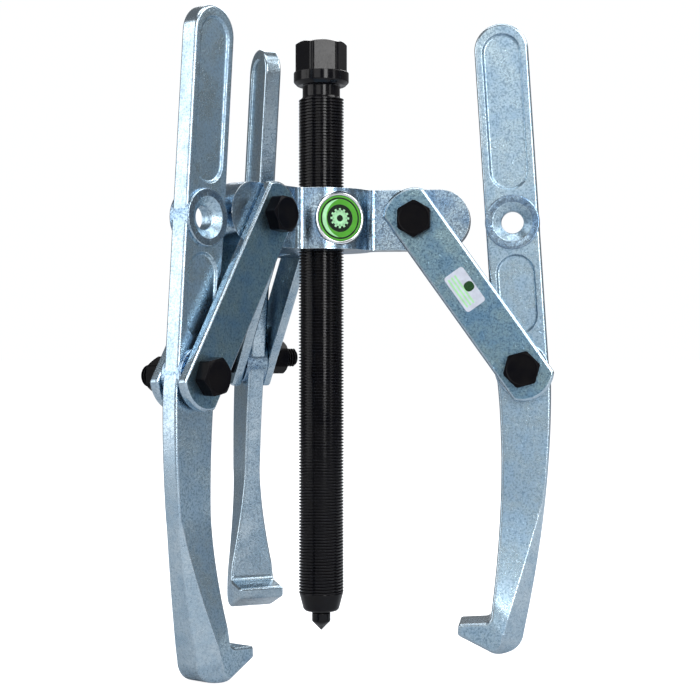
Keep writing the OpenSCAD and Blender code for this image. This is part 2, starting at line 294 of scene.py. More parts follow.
def moved(mesh: bpy.types.Mesh, matrix: Matrix) -> bpy.types.Mesh:
    """The mesh itself, with the matrix applied to its points.

    Args:
        mesh: Mesh to change.
        matrix: Matrix to apply; a mirroring one keeps the faces outward.

    Returns:
        The same mesh.
    """
    mesh.transform(matrix)
    if matrix.determinant() < 0:
        mesh.flip_normals()
    return mesh


def evaluated(mesh: bpy.types.Mesh, dress: Callable[[bpy.types.Object], None]) -> bpy.types.Mesh:
    """Mesh that comes out of the modifiers which dress puts on a scratch object.

    Args:
        mesh: Mesh that the modifiers start from; it is used up.
        dress: Adds the modifiers to the scratch object.

    Returns:
        A plain mesh with the modifiers applied.
    """
    scratch = bpy.data.objects.new("scratch", mesh)
    bpy.context.scene.collection.objects.link(scratch)
    dress(scratch)
    depsgraph = bpy.context.evaluated_depsgraph_get()
    out = bpy.data.meshes.new_from_object(scratch.evaluated_get(depsgraph), depsgraph=depsgraph)
    bpy.data.objects.remove(scratch)
    bpy.data.meshes.remove(mesh)
    return out


def carved(
    blank: bpy.types.Mesh,
    add: bpy.types.Mesh | None = None,
    cut: bpy.types.Mesh | None = None,
) -> bpy.types.Mesh:
    """Blank with one solid joined on and another taken away.

    Args:
        blank: Closed mesh; it is used up.
        add: Closed mesh joined to it; it is used up.
        cut: Closed mesh taken from the two; it is used up.

    Returns:
        The finished solid.
    """
    tools = [
        (bpy.data.objects.new(f"tool_{operation}", tool), operation)
        for tool, operation in ((add, "UNION"), (cut, "DIFFERENCE"))
        if tool is not None
    ]

    def dress(scratch: bpy.types.Object) -> None:
        """Adds a Boolean for each tool."""
        for tool, operation in tools:
            bpy.context.scene.collection.objects.link(tool)
            boolean = scratch.modifiers.new(operation, "BOOLEAN")
            boolean.operation, boolean.object, boolean.solver = operation, tool, "EXACT"

    out = evaluated(blank, dress)
    for tool, _ in tools:
        used = tool.data
        bpy.data.objects.remove(tool)
        bpy.data.meshes.remove(used)
    return out


def lathe(name: str, profile: Sequence[Point2], steps: int = 64) -> bpy.types.Mesh:
    """Solid of revolution about Z.

    Args:
        name: Name of the mesh.
        profile: (radius, height) points; a closed loop, or open with both ends on the axis.
        steps: Points round the axis.

    Returns:
        The mesh.
    """
    turns = [(math.cos(a), math.sin(a)) for a in (2 * math.pi * k / steps for k in range(steps))]
    verts = [(r * c, r * s, z) for c, s in turns for r, z in profile]
    rows = len(profile)
    closed = profile[0][0] > ON_AXIS
    faces = []
    for k in range(steps):
        a, b = k * rows, (k + 1) % steps * rows
        for j in range(rows if closed else rows - 1):
            ahead = (j + 1) % rows
            faces.append((a + j, b + j, b + ahead, a + ahead))
    return new_mesh(name, verts, faces)


def corner(before: Point2, at: Point2, after: Point2, radius: float, steps: int = 4) -> list[Point2]:
    """Points that round a corner of an outline.

    Args:
        before: Point before the corner.
        at: The corner.
        after: Point after the corner.
        radius: How far from the corner the rounding starts and ends.
        steps: Segments in the rounding.

    Returns:
        The points, from the side of before to the side of after.
    """
    a, b, c = (Vector(p) for p in (before, at, after))
    start = b + (a - b).normalized() * min(radius, (a - b).length * LONGEST_ROUNDING)
    end = b + (c - b).normalized() * min(radius, (c - b).length * LONGEST_ROUNDING)
    return [
        tuple(start * (1 - t) ** 2 + b * (2 * t * (1 - t)) + end * t**2)
        for t in (k / steps for k in range(steps + 1))
    ]


def rounded(points: Sequence[Point2], radii: Sequence[float], closed: bool, steps: int = 4) -> list[Point2]:
    """Outline with each of its corners rounded.

    Args:
        points: Corners of the outline.
        radii: Rounding of each corner; 0 keeps it sharp.
        closed: Whether the outline runs back to its start.
        steps: Segments in each rounding.

    Returns:
        The points of the rounded outline.
    """
    out: list[Point2] = []
    for k, (at, radius) in enumerate(zip(points, radii)):
        if radius <= 0 or (not closed and k in (0, len(points) - 1)):
            out.append(tuple(at))
        else:
            out += corner(points[k - 1], at, points[(k + 1) % len(points)], radius, steps)
    return out


def arc(centre: Point2, radius: float, start: float, end: float, steps: int) -> list[Point2]:
    """Points along a circular arc, with its angles in degrees.

    Args:
        centre: Centre of the arc.
        radius: Its radius.
        start: Angle of the first point.
        end: Angle of the last point.
        steps: Segments in the arc.

    Returns:
        The points, both ends among them.
    """
    angles = (math.radians(start + (end - start) * k / steps) for k in range(steps + 1))
    return [(centre[0] + radius * math.cos(a), centre[1] + radius * math.sin(a)) for a in angles]


def bezier(a: Point2, b: Point2, c: Point2, d: Point2, t: float) -> Point2:
    """Point at t along a cubic curve from a to d with handles b and c.

    Args:
        a: Start of the curve.
        b: Handle at the start.
        c: Handle at the end.
        d: End of the curve.
        t: How far along, from 0 to 1.

    Returns:
        The point.
    """
    weights = ((1 - t) ** 3, 3 * t * (1 - t) ** 2, 3 * t * t * (1 - t), t**3)
    return tuple(sum(w * p[i] for w, p in zip(weights, (a, b, c, d))) for i in (0, 1))


def mirrored(profile: Sequence[Point2]) -> list[Point2]:
    """The profile of one half, followed by its mirror image across the middle.

    Args:
        profile: (radius, height) points down to the middle, or up to it.

    Returns:
        The whole profile.
    """
    return [*profile, *[(r, -z) for r, z in reversed(profile)]]


def rounded_profile(points: Sequence[tuple[float, float, float]], steps: int = 4) -> list[Point2]:
    """Open profile from corners, whose two ends lie on the axis.

    Args:
        points: Corners as (radius, height, rounding).
        steps: Segments in each rounding.

    Returns:
        (radius, height) points of the profile.
    """
    corners = [(r, z) for r, z, _ in points]
    return rounded(corners, [rounding for *_, rounding in points], closed=False, steps=steps)


def prism(
    name: str, outline: Sequence[Point2], low: float, high: float, caps: Sequence[Sequence[int]]
) -> bpy.types.Mesh:
    """Closed mesh between two levels of one outline.

    Args:
        name: Name of the mesh.
        outline: Points of the outline, as (x, y).
        low: Height of the lower face.
        high: Height of the upper face.
        caps: Faces that fill the outline, as lists of its point numbers.

    Returns:
        The mesh.
    """
    count = len(outline)
    verts = [(x, y, z) for z in (low, high) for x, y in outline]
    faces = [(k, (k + 1) % count, count + (k + 1) % count, count + k) for k in range(count)]
    faces += [tuple(cap) for cap in caps]
    faces += [tuple(count + k for k in cap) for cap in caps]
    return new_mesh(name, verts, faces)


def closed_from_rows(name: str, rows: Sequence[Sequence[Sequence[float]]]) -> bpy.types.Mesh:
    """Closed mesh from rows of points, one beside the other all the way round.

    Args:
        name: Name of the mesh.
        rows: Rows with as many points each; their first points make one cap and their last the other.

    Returns:
        The mesh.
    """
    around, along = len(rows), len(rows[0])
    verts = [point for row in rows for point in row]
    faces = []
    for k in range(around):
        a, b = k * along, (k + 1) % around * along
        faces += [(a + j, a + j + 1, b + j + 1, b + j) for j in range(along - 1)]
    faces += [[k * along + end for k in range(around)] for end in (0, along - 1)]
    return new_mesh(name, verts, faces)


def smooth_step(t: float) -> float:
    """Soft rise from 0 to 1 as t goes from 0 to 1.

    Args:
        t: Any number; it is held between 0 and 1.

    Returns:
        The share.
    """
    t = min(1.0, max(0.0, t))
    return t * t * (3 - 2 * t)


@dataclass(frozen=True)
class Section:
    """Half of a forging's section at one point of its outline.

    The crown is half the height of the edge face, which the bevel joins to the flat face.
    """

    half: float
    bevel: float = 1.0
    crown: float | None = None
    rounding: float = 0.6
    flat: float = 9.0
    steps: int = 3

    def profile(self) -> list[Point2]:
        """(inset, across) points from the flat face round the edge and back on the other side."""
        crown = self.half - self.bevel if self.crown is None else self.crown
        face, edge = (self.bevel, self.half), (0.0, crown)
        upper = corner((self.bevel + self.flat, self.half), face, edge, self.rounding, self.steps)
        upper += corner(face, edge, (0.0, 0.0), self.rounding, self.steps)
        return [*upper, (0.0, 0.0), *[(d, -y) for d, y in reversed(upper)]]


def forged_plate(
    name: str, right: Sequence[Point2], left: Sequence[Point2], sections: Sequence[tuple[Section, Section]]
) -> bpy.types.Mesh:
    """Plate between two edges that run side by side from one common point to another.

    Args:
        name: Name of the mesh.
        right: Outer edge, as (outward, up) points.
        left: Inner edge, with as many points, the same at both ends.
        sections: Edge sections of right and left at each pair of points.

    Returns:
        Closed mesh in the plane's frame: outward X, across Y, up Z.
    """
    last = len(right) - 1
    loop = [*right, *reversed(left[1:last])]
    ring = [s[0] for s in sections] + [s[1] for s in reversed(sections[1:last])]
    count = len(loop)
    verts, faces, surfaces = [], [], []
    rows = len(ring[0].profile())
    for k, (x, z) in enumerate(loop):
        ahead, behind = Vector(loop[(k + 1) % count]), Vector(loop[k - 1])
        normal = Vector((behind.y - ahead.y, ahead.x - behind.x)).normalized()
        verts += [(x - normal.x * d, y, z - normal.y * d) for d, y in ring[k].profile()]
    for k in range(count):
        a, b = k * rows, (k + 1) % count * rows
        faces += [(a + j, a + j + 1, b + j + 1, b + j) for j in range(rows - 1)]
        surfaces += [Surface.POLISHED.value] * (rows - 1)
    for k in range(last):
        a, b, c, d = (i % count * rows for i in (k, k + 1, count - k - 1, count - k))
        for j in (0, rows - 1):
            faces.append((a + j, b + j, c + j, d + j))
            surfaces.append(Surface.FORGED.value)
    return new_mesh(name, verts, faces, surfaces)


def finished_object(
    name: str, mesh: bpy.types.Mesh, matrix: Matrix, body: str, materials: Sequence[bpy.types.Material],
    stands_for: Sequence[str] = (), smooth: float = SMOOTH_ANGLE,
) -> bpy.types.Object:
    """Places, shades, dresses and rides one piece.

    Args:
        name: Name of the piece.
        mesh: Its mesh in millimetres, in a local frame.
        matrix: Matrix from that frame to the part's frame.
        body: Body that it rides on.
        materials: One material for each material index in the mesh.
        stands_for: CAD nodes that it is shown instead of.
        smooth: Edges sharper than this angle stay sharp.

    Returns:
        The piece.
    """
    moved(mesh, matrix)
    mesh.name = name
    mesh.shade_smooth()
    mesh.set_sharp_from_angle(angle=smooth)

    def weigh(scratch: bpy.types.Object) -> None:
        """Keeps the shading of the flats flat."""
        weighted = scratch.modifiers.new("weighted", "WEIGHTED_NORMAL")
        weighted.keep_sharp = True

    mesh = evaluated(mesh, weigh)
    surfaces = [0] * len(mesh.polygons)
    mesh.polygons.foreach_get("material_index", surfaces)
    mesh.materials.clear()
    for material in materials:
        mesh.materials.append(material)
    mesh.polygons.foreach_set("material_index", surfaces)
    piece = bpy.data.objects.new(name, mesh)
    bpy.context.scene.collection.objects.link(piece)
    if stands_for:
        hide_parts(*stands_for)
    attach(piece, body)
    log.info("%s: %d faces on %s", name, len(mesh.polygons), body)
    return piece


# ---------------------------------------------------------------- geometry node trees


class NodeTree:
    """Short way to write a node tree: adds nodes and links them as it goes."""

    def __init__(self, tree: bpy.types.NodeTree) -> None:
        """Wraps an existing tree."""
        self.tree = tree

    def add(self, kind: str, **settings: object) -> bpy.types.Node:
        """Adds a node.

        Args:
            kind: Blender's name of the node type.
            settings: Attributes to set on it.

        Returns:
            The node.
        """
        node = self.tree.nodes.new(kind)
        for key, value in settings.items():
            setattr(node, key, value)
        return node

    def feed(self, socket: bpy.types.NodeSocket, value: object) -> None:
        """Links a socket's value, or sets it when it is a plain one.

        Args:
            socket: Input to feed.
            value: Output socket to link to it, or its plain value.
        """
        if isinstance(value, bpy.types.NodeSocket):
            self.tree.links.new(value, socket)
        else:
            socket.default_value = value

    def math(self, operation: str, *values: object) -> bpy.types.NodeSocket:
        """Result of a Math node on one to three values.

        Args:
            operation: Blender's name of the operation.
            values: Sockets or plain numbers.

        Returns:
            The node's output.
        """
        node = self.add("ShaderNodeMath", operation=operation)
        for socket, value in zip(node.inputs, values):
            self.feed(socket, value)
        return node.outputs[0]

    def interface(self, inputs: dict[str, tuple[str, object]], outputs: dict[str, str]) -> None:
        """Args:
            inputs: Socket type and default value by name.
            outputs: Socket type by name.
        """
        for name, (kind, default) in inputs.items():
            socket = self.tree.interface.new_socket(name, in_out="INPUT", socket_type=kind)
            if default is not None:
                socket.default_value = default
        for name, kind in outputs.items():
            self.tree.interface.new_socket(name, in_out="OUTPUT", socket_type=kind)


class ThreadTree:
    """Geometry Nodes that wind a screw thread about Z, for the spindle and the bolts."""

    PROFILE_STEPS = 8
    FLANK_GAIN = 2.0
    FLAT_SHARE = 0.5
    SPARE_TURNS = 2.0
    WELD = 0.005
    SLIVER = 0.001

    def __init__(self) -> None:
        """Builds the tree."""
        self.tree = bpy.data.node_groups.new("wound_thread", "GeometryNodeTree")
        nodes = NodeTree(self.tree)
        nodes.interface(
            {
                "Start": ("NodeSocketFloat", 0.0),
                "Length": ("NodeSocketFloat", 100.0),
                "Pitch": ("NodeSocketFloat", 2.0),
                "Crest Radius": ("NodeSocketFloat", 10.0),
                "Depth": ("NodeSocketFloat", 1.0),
                "Steps Per Turn": ("NodeSocketInt", 36),
                "Material": ("NodeSocketMaterial", None),
            },
            {"Geometry": "NodeSocketGeometry"},
        )
        given = nodes.add("NodeGroupInput").outputs
        turns = nodes.math("ADD", nodes.math("DIVIDE", given["Length"], given["Pitch"]), self.SPARE_TURNS)
        around = nodes.math("CEIL", nodes.math("MULTIPLY", turns, given["Steps Per Turn"]))
        grid = nodes.add("GeometryNodeMeshGrid")
        nodes.feed(grid.inputs["Size X"], around)
        nodes.feed(grid.inputs["Size Y"], 1.0)
        nodes.feed(grid.inputs["Vertices X"], nodes.math("ADD", around, 1.0))
        nodes.feed(grid.inputs["Vertices Y"], self.PROFILE_STEPS + 1)
        place = nodes.add("ShaderNodeSeparateXYZ")
        nodes.feed(place.inputs[0], nodes.add("GeometryNodeInputPosition").outputs[0])
        step = nodes.math("ADD", place.outputs["X"], nodes.math("DIVIDE", around, 2.0))
        turn = nodes.math("DIVIDE", step, given["Steps Per Turn"])
        share = nodes.math("ADD", place.outputs["Y"], 0.5)
        off_crest = nodes.math("ABSOLUTE", nodes.math("SUBTRACT", nodes.math("MULTIPLY", share, 2.0), 1.0))
        flank = nodes.math("MULTIPLY_ADD", off_crest, self.FLANK_GAIN, -self.FLAT_SHARE)
        flank = nodes.math("MINIMUM", nodes.math("MAXIMUM", flank, 0.0), 1.0)
        radius = nodes.math("SUBTRACT", given["Crest Radius"], nodes.math("MULTIPLY", flank, given["Depth"]))
        pitches = nodes.math("ADD", turn, nodes.math("SUBTRACT", share, 1.0))
        climb = nodes.math("MULTIPLY", pitches, given["Pitch"])
        angle = nodes.math("MULTIPLY", nodes.math("FRACT", turn), 2 * math.pi)
        point = nodes.add("ShaderNodeCombineXYZ")
        nodes.feed(point.inputs["X"], nodes.math("MULTIPLY", radius, nodes.math("COSINE", angle)))
        nodes.feed(point.inputs["Y"], nodes.math("MULTIPLY", radius, nodes.math("SINE", angle)))
        nodes.feed(point.inputs["Z"], nodes.math("ADD", climb, given["Start"]))
        wound = nodes.add("GeometryNodeSetPosition")
        nodes.feed(wound.inputs["Geometry"], grid.outputs["Mesh"])
        nodes.feed(wound.inputs["Position"], point.outputs[0])
        welded = nodes.add("GeometryNodeMergeByDistance")
        nodes.feed(welded.inputs["Geometry"], wound.outputs[0])
        nodes.feed(welded.inputs["Distance"], self.WELD)
        real = nodes.add("GeometryNodeRealizeInstances")
        nodes.feed(real.inputs[0], welded.outputs[0])
        coat = nodes.add("GeometryNodeSetMaterial")
        nodes.feed(coat.inputs["Geometry"], real.outputs[0])
        nodes.feed(coat.inputs["Material"], given["Material"])
        nodes.feed(nodes.add("NodeGroupOutput").inputs[0], coat.outputs[0])

    def mesh(self, material: bpy.types.Material, **sizes: float) -> bpy.types.Mesh:
        """Winds one thread.

        Args:
            material: Its material.
            sizes: Values of the tree's inputs by name, with _ for a space.

        Returns:
            Closed mesh in millimetres, cut square at both ends.
        """
        values = {name.replace("_", " "): size for name, size in sizes.items()}
        mesh = node_mesh(self.tree, {"Material": material, **values})
        shell = bmesh.new()
        shell.from_mesh(mesh)
        for level, outward in ((sizes["Start"], -1), (sizes["Start"] + sizes["Length"], 1)):
            bmesh.ops.bisect_plane(
                shell, geom=[*shell.verts, *shell.edges, *shell.faces],
                plane_co=(0, 0, level), plane_no=(0, 0, outward), clear_outer=True,
            )
        bmesh.ops.remove_doubles(shell, verts=shell.verts, dist=self.WELD)
        bmesh.ops.dissolve_degenerate(shell, edges=shell.edges, dist=self.SLIVER)
        bmesh.ops.holes_fill(shell, edges=[edge for edge in shell.edges if edge.is_boundary], sides=0)
        bmesh.ops.recalc_face_normals(shell, faces=shell.faces)
        shell.to_mesh(mesh)
        shell.free()
        return mesh


class RingTree:
    """Geometry Nodes that set one small part round a circle: teeth, crimps."""

    BALL_SEGMENTS = 8
    BALL_RINGS = 6

    def __init__(self) -> None:
        """Builds the tree."""
        self.tree = bpy.data.node_groups.new("ring_of_parts", "GeometryNodeTree")
        nodes = NodeTree(self.tree)
        nodes.interface(
            {
                "Count": ("NodeSocketInt", 12),
                "Radius": ("NodeSocketFloat", 10.0),
                "Part Size": ("NodeSocketVector", (1.0, 1.0, 1.0)),
                "Round": ("NodeSocketBool", False),
                "Material": ("NodeSocketMaterial", None),
            },
            {"Geometry": "NodeSocketGeometry"},
        )
        given = nodes.add("NodeGroupInput").outputs
        circle = nodes.add("GeometryNodeMeshCircle")
        nodes.feed(circle.inputs["Vertices"], given["Count"])
        nodes.feed(circle.inputs["Radius"], given["Radius"])
        cube = nodes.add("GeometryNodeMeshCube")
        ball = nodes.add("GeometryNodeMeshUVSphere")
        nodes.feed(ball.inputs["Segments"], self.BALL_SEGMENTS)
        nodes.feed(ball.inputs["Rings"], self.BALL_RINGS)
        nodes.feed(ball.inputs["Radius"], 0.5)
        part = nodes.add("GeometryNodeSwitch", input_type="GEOMETRY")
        nodes.feed(part.inputs["Switch"], given["Round"])
        nodes.feed(part.inputs["False"], cube.outputs["Mesh"])
        nodes.feed(part.inputs["True"], ball.outputs["Mesh"])
        index = nodes.add("GeometryNodeInputIndex").outputs[0]
        turn = nodes.math("DIVIDE", nodes.math("MULTIPLY", index, 2 * math.pi), given["Count"])
        facing = nodes.add("ShaderNodeCombineXYZ")
        nodes.feed(facing.inputs["Z"], turn)
        spread = nodes.add("GeometryNodeInstanceOnPoints")
        nodes.feed(spread.inputs["Points"], circle.outputs["Mesh"])
        nodes.feed(spread.inputs["Instance"], part.outputs[0])
        nodes.feed(spread.inputs["Rotation"], facing.outputs[0])
        nodes.feed(spread.inputs["Scale"], given["Part Size"])
        real = nodes.add("GeometryNodeRealizeInstances")
        nodes.feed(real.inputs[0], spread.outputs[0])
        coat = nodes.add("GeometryNodeSetMaterial")
        nodes.feed(coat.inputs["Geometry"], real.outputs[0])
        nodes.feed(coat.inputs["Material"], given["Material"])
        nodes.feed(nodes.add("NodeGroupOutput").inputs[0], coat.outputs[0])

    def mesh(
        self, material: bpy.types.Material, count: int, radius: float, size: Sequence[float],
        rounded_parts: bool,
    ) -> bpy.types.Mesh:
        """Makes one ring.

        Args:
            material: Its material.
            count: Number of parts.
            radius: Radius of the circle that they sit on.
            size: Radial, tangential and axial size of a part.
            rounded_parts: Balls instead of blocks.

        Returns:
            Plain mesh in millimetres.
        """
        return node_mesh(
            self.tree,
            {
                "Material": material, "Count": count, "Radius": radius,
                "Part Size": size, "Round": rounded_parts,
            },
        )


def node_mesh(tree: bpy.types.NodeTree, values: dict[str, object]) -> bpy.types.Mesh:
    """Plain mesh from a Geometry Nodes tree.

    Args:
        tree: The tree.
        values: Values of its inputs by name.

    Returns:
        The mesh.
    """
    sockets = tree.interface.items_tree
    identifiers = {item.name: item.identifier for item in sockets if item.in_out == "INPUT"}

    def dress(scratch: bpy.types.Object) -> None:
        """Adds the tree with its values."""
        made = scratch.modifiers.new("tree", "NODES")
        made.node_group = tree
        for name, value in values.items():
            made[identifiers[name]] = value

    return evaluated(bpy.data.meshes.new("seed"), dress)


# ---------------------------------------------------------------- finishes


class Effects:
    """Shader node groups that several finishes share."""

    FLAT_POINTINESS = 0.502
    PIT_SHARE_OF_SCALE = 0.45
    WEAR_NOISE_SCALE = 260.0

    def __init__(self) -> None:
        """Builds the groups."""
        self.mottle = self._mottle()
        self.grain = self._grain()
        self.wear = self._wear()

    def _group(self, name: str, inputs: dict[str, float], outputs: Sequence[str]) -> NodeTree:
        """Empty shader group with named number sockets.

        Args:
            name: Name of the group.
            inputs: Default value by input name.
            outputs: Names of the outputs.

        Returns:
            The group's tree, ready for nodes.
        """
        nodes = NodeTree(bpy.data.node_groups.new(name, "ShaderNodeTree"))
        nodes.interface(
            {key: ("NodeSocketFloat", value) for key, value in inputs.items()},
            {key: "NodeSocketFloat" for key in outputs},
        )
        return nodes

    def _noise(self, nodes: NodeTree, scale: object, detail: float, roughness: float) -> bpy.types.NodeSocket:
        """Noise over the piece's own coordinates.

        Args:
            nodes: Tree to add it to.
            scale: Scale, per metre.
            detail: Octaves.
            roughness: Weight of the finer octaves.

        Returns:
            The noise's value, about 0 to 1.
        """
        noise = nodes.add("ShaderNodeTexNoise")
        nodes.feed(noise.inputs["Vector"], nodes.add("ShaderNodeTexCoord").outputs["Object"])
        nodes.feed(noise.inputs["Scale"], scale)
        nodes.feed(noise.inputs["Detail"], detail)
        nodes.feed(noise.inputs["Roughness"], roughness)
        return noise.outputs["Fac"]

    def _spread(self, nodes: NodeTree, value: object, low: float, high: float) -> bpy.types.NodeSocket:
        """Stretches low to high over 0 to 1, clamped.

        Args:
            nodes: Tree to add it to.
            value: What is stretched.
            low: Value that becomes 0.
            high: Value that becomes 1.

        Returns:
            The stretched value.
        """
        node = nodes.add("ShaderNodeMapRange")
        nodes.feed(node.inputs["Value"], value)
        nodes.feed(node.inputs["From Min"], low)
        nodes.feed(node.inputs["From Max"], high)
        return node.outputs["Result"]

    def _mottle(self) -> bpy.types.NodeTree:
        """Large soft patches and small speckles, as on tumbled and dipped metal."""
        nodes = self._group(
            "surface_mottle", {"Patch Scale": 40.0, "Speckle Scale": 700.0}, ("Patch", "Speckle")
        )
        given = nodes.add("NodeGroupInput").outputs
        patch = self._spread(nodes, self._noise(nodes, given["Patch Scale"], 4.0, 0.65), 0.36, 0.64)
        speckle = self._spread(nodes, self._noise(nodes, given["Speckle Scale"], 3.0, 0.7), 0.46, 0.62)
        out = nodes.add("NodeGroupOutput").inputs
        nodes.feed(out["Patch"], patch)
        nodes.feed(out["Speckle"], speckle)
        return nodes.tree

    def _grain(self) -> bpy.types.NodeTree:
        """Height of a fine grain with scattered pits."""
        nodes = self._group("surface_grain", {"Scale": 900.0, "Pits": 0.4}, ("Height",))
        given = nodes.add("NodeGroupInput").outputs
        fine = self._noise(nodes, given["Scale"], 4.0, 0.65)
        pit_scale = nodes.math("MULTIPLY", given["Scale"], self.PIT_SHARE_OF_SCALE)
        pits = self._spread(nodes, self._noise(nodes, pit_scale, 2.0, 0.5), 0.62, 0.74)
        height = nodes.math("SUBTRACT", fine, nodes.math("MULTIPLY", pits, given["Pits"]))
        nodes.feed(nodes.add("NodeGroupOutput").inputs["Height"], height)
        return nodes.tree

    def _wear(self) -> bpy.types.NodeTree:
        """Mask of the rubbed outer edges, broken up by noise."""
        nodes = self._group("edge_wear", {"Width": 0.0008, "Softness": 0.12, "Break Up": 0.5}, ("Mask",))
        given = nodes.add("NodeGroupInput").outputs
        surface = nodes.add("ShaderNodeNewGeometry").outputs
        turned = nodes.add("ShaderNodeBevel", samples=4)
        nodes.feed(turned.inputs["Radius"], given["Width"])
        facing = nodes.add("ShaderNodeVectorMath", operation="DOT_PRODUCT")
        nodes.feed(facing.inputs[0], turned.outputs["Normal"])
        nodes.feed(facing.inputs[1], surface["Normal"])
        outer = nodes.math("GREATER_THAN", surface["Pointiness"], self.FLAT_POINTINESS)
        near = nodes.math("DIVIDE", nodes.math("SUBTRACT", 1.0, facing.outputs["Value"]), given["Softness"])
        rubbed = nodes.math("MULTIPLY", outer, near)
        broken = self._spread(nodes, self._noise(nodes, self.WEAR_NOISE_SCALE, 3.0, 0.6), 0.3, 0.65)
        gaps = nodes.math("MULTIPLY", given["Break Up"], nodes.math("SUBTRACT", 1.0, broken))
        kept = nodes.math("SUBTRACT", 1.0, gaps)
        mask = nodes.math("MINIMUM", nodes.math("MULTIPLY", rubbed, kept), 1.0)
        nodes.feed(nodes.add("NodeGroupOutput").inputs["Mask"], mask)
        return nodes.tree


class Coat(NodeTree):
    """One material under construction, with the shader and the helpers of its finish."""

    COLOUR_MIX_INPUTS = (0, 6, 7)
    COLOUR_MIX_OUTPUT = 2

    def __init__(self, name: str, effects: Effects) -> None:
        """Starts an empty material with a Principled shader.

        Args:
            name: Name of the material.
            effects: Groups that the finishes share.
        """
        self.material = bpy.data.materials.new(name)
        self.material.use_nodes = True
        super().__init__(self.material.node_tree)
        self.effects = effects
        self.shader = next(n for n in self.tree.nodes if n.type == "BSDF_PRINCIPLED")

    def effect(self, group: bpy.types.NodeTree, **values: float) -> bpy.types.bpy_prop_collection:
        """Places a shared group.

        Args:
            group: The group.
            values: Its input values by name, with _ for a space.

        Returns:
            The node's outputs.
        """
        node = self.add("ShaderNodeGroup", node_tree=group)
        for key, value in values.items():
            self.feed(node.inputs[key.replace("_", " ")], value)
        return node.outputs

    def blend(self, share: object, first: object, second: object) -> bpy.types.NodeSocket:
        """Colour between two, by share.

        Args:
            share: 0 gives the first and 1 the second.
            first: Colour or socket.
            second: Colour or socket.

        Returns:
            The blended colour.
        """
        node = self.add("ShaderNodeMix", data_type="RGBA")
        for place, value in zip(self.COLOUR_MIX_INPUTS, (share, first, second)):
            self.feed(node.inputs[place], value)
        return node.outputs[self.COLOUR_MIX_OUTPUT]

    def level(self, value: object, low: float, high: float) -> bpy.types.NodeSocket:
        """Number from low to high as value goes from 0 to 1.

        Args:
            value: Socket or number.
            low: Result at 0.
            high: Result at 1.

        Returns:
            The number.
        """
        node = self.add("ShaderNodeMapRange")
        self.feed(node.inputs["Value"], value)
        self.feed(node.inputs["To Min"], low)
        self.feed(node.inputs["To Max"], high)
        return node.outputs["Result"]

    def bump(self, height: object, distance: float, strength: float) -> None:
        """Feeds the shader's normal from a height, with distance in metres.

        Args:
            height: Height, about 0 to 1.
            distance: How high a height of 1 stands, in metres.
            strength: Share of the bump that is used.
        """
        node = self.add("ShaderNodeBump")
        self.feed(node.inputs["Height"], height)
        self.feed(node.inputs["Distance"], distance)
        self.feed(node.inputs["Strength"], strength)
        self.feed(self.shader.inputs["Normal"], node.outputs["Normal"])


Colour = tuple[float, float, float, float]


@dataclass(frozen=True)
class ZincPlate:
    """Bluish zinc over tumbled forged steel, or over its smooth edges."""

    name: str
    pale: Colour
    blue: Colour
    dark: Colour
    rough: Point2
    grain_depth: float
    speckle_share: float
    patch_scale: float = 75.0
    speckle_scale: float = 850.0
    bare: Colour = (0.80, 0.86, 0.90, 1.0)

    def build(self, effects: Effects) -> bpy.types.Material:
        """Makes the material.

        Args:
            effects: Groups that the finishes share.

        Returns:
            The material.
        """
        coat = Coat(self.name, effects)
        mottle = coat.effect(effects.mottle, Patch_Scale=self.patch_scale, Speckle_Scale=self.speckle_scale)
        wear = coat.effect(effects.wear, Width=0.7 * MM, Softness=0.16, Break_Up=0.5)["Mask"]
        grain = coat.effect(effects.grain, Scale=1100.0, Pits=0.7)["Height"]
        tone = coat.blend(mottle["Patch"], self.pale, self.blue)
        tone = coat.blend(coat.math("MULTIPLY", mottle["Speckle"], self.speckle_share), tone, self.dark)
        tone = coat.blend(wear, tone, self.bare)
        coat.feed(coat.shader.inputs["Base Color"], tone)
        coat.shader.inputs["Metallic"].default_value = 1.0
        dull = coat.math("MULTIPLY_ADD", mottle["Speckle"], 0.6, coat.math("MULTIPLY", mottle["Patch"], 0.4))
        rough = coat.level(coat.math("SUBTRACT", dull, wear), self.rough[0], self.rough[1])
        coat.feed(coat.shader.inputs["Roughness"], rough)
        coat.bump(grain, self.grain_depth * MM, 1.0)
        return coat.material


@dataclass(frozen=True)
class BlackOxide:
    """Oiled black oxide with faintly browned patches and rubbed edges."""

    name: str
    rough: Point2
    base: Colour = (0.0015, 0.0015, 0.003, 1.0)
    brown: Colour = (0.004, 0.0035, 0.004, 1.0)
    rubbed: Colour = (0.03, 0.03, 0.035, 1.0)
    gloss: float = 0.35

    def build(self, effects: Effects) -> bpy.types.Material:
        """Makes the material.

        Args:
            effects: Groups that the finishes share.

        Returns:
            The material.
        """
        coat = Coat(self.name, effects)
        mottle = coat.effect(effects.mottle, Patch_Scale=90.0, Speckle_Scale=900.0)
        wear = coat.effect(effects.wear, Width=0.4 * MM, Softness=0.2, Break_Up=0.8)["Mask"]
        grain = coat.effect(effects.grain, Scale=1500.0, Pits=0.3)["Height"]
        tone = coat.blend(mottle["Patch"], self.base, self.brown)
        tone = coat.blend(wear, tone, self.rubbed)
        coat.feed(coat.shader.inputs["Base Color"], tone)
        coat.shader.inputs["Metallic"].default_value = 0.0
        coat.shader.inputs["Specular IOR Level"].default_value = self.gloss
        dull = coat.math("MULTIPLY_ADD", mottle["Speckle"], 0.5, coat.math("MULTIPLY", mottle["Patch"], 0.5))
        coat.feed(coat.shader.inputs["Roughness"], coat.level(dull, self.rough[0], self.rough[1]))
        coat.bump(grain, 0.008 * MM, 1.0)
        return coat.material


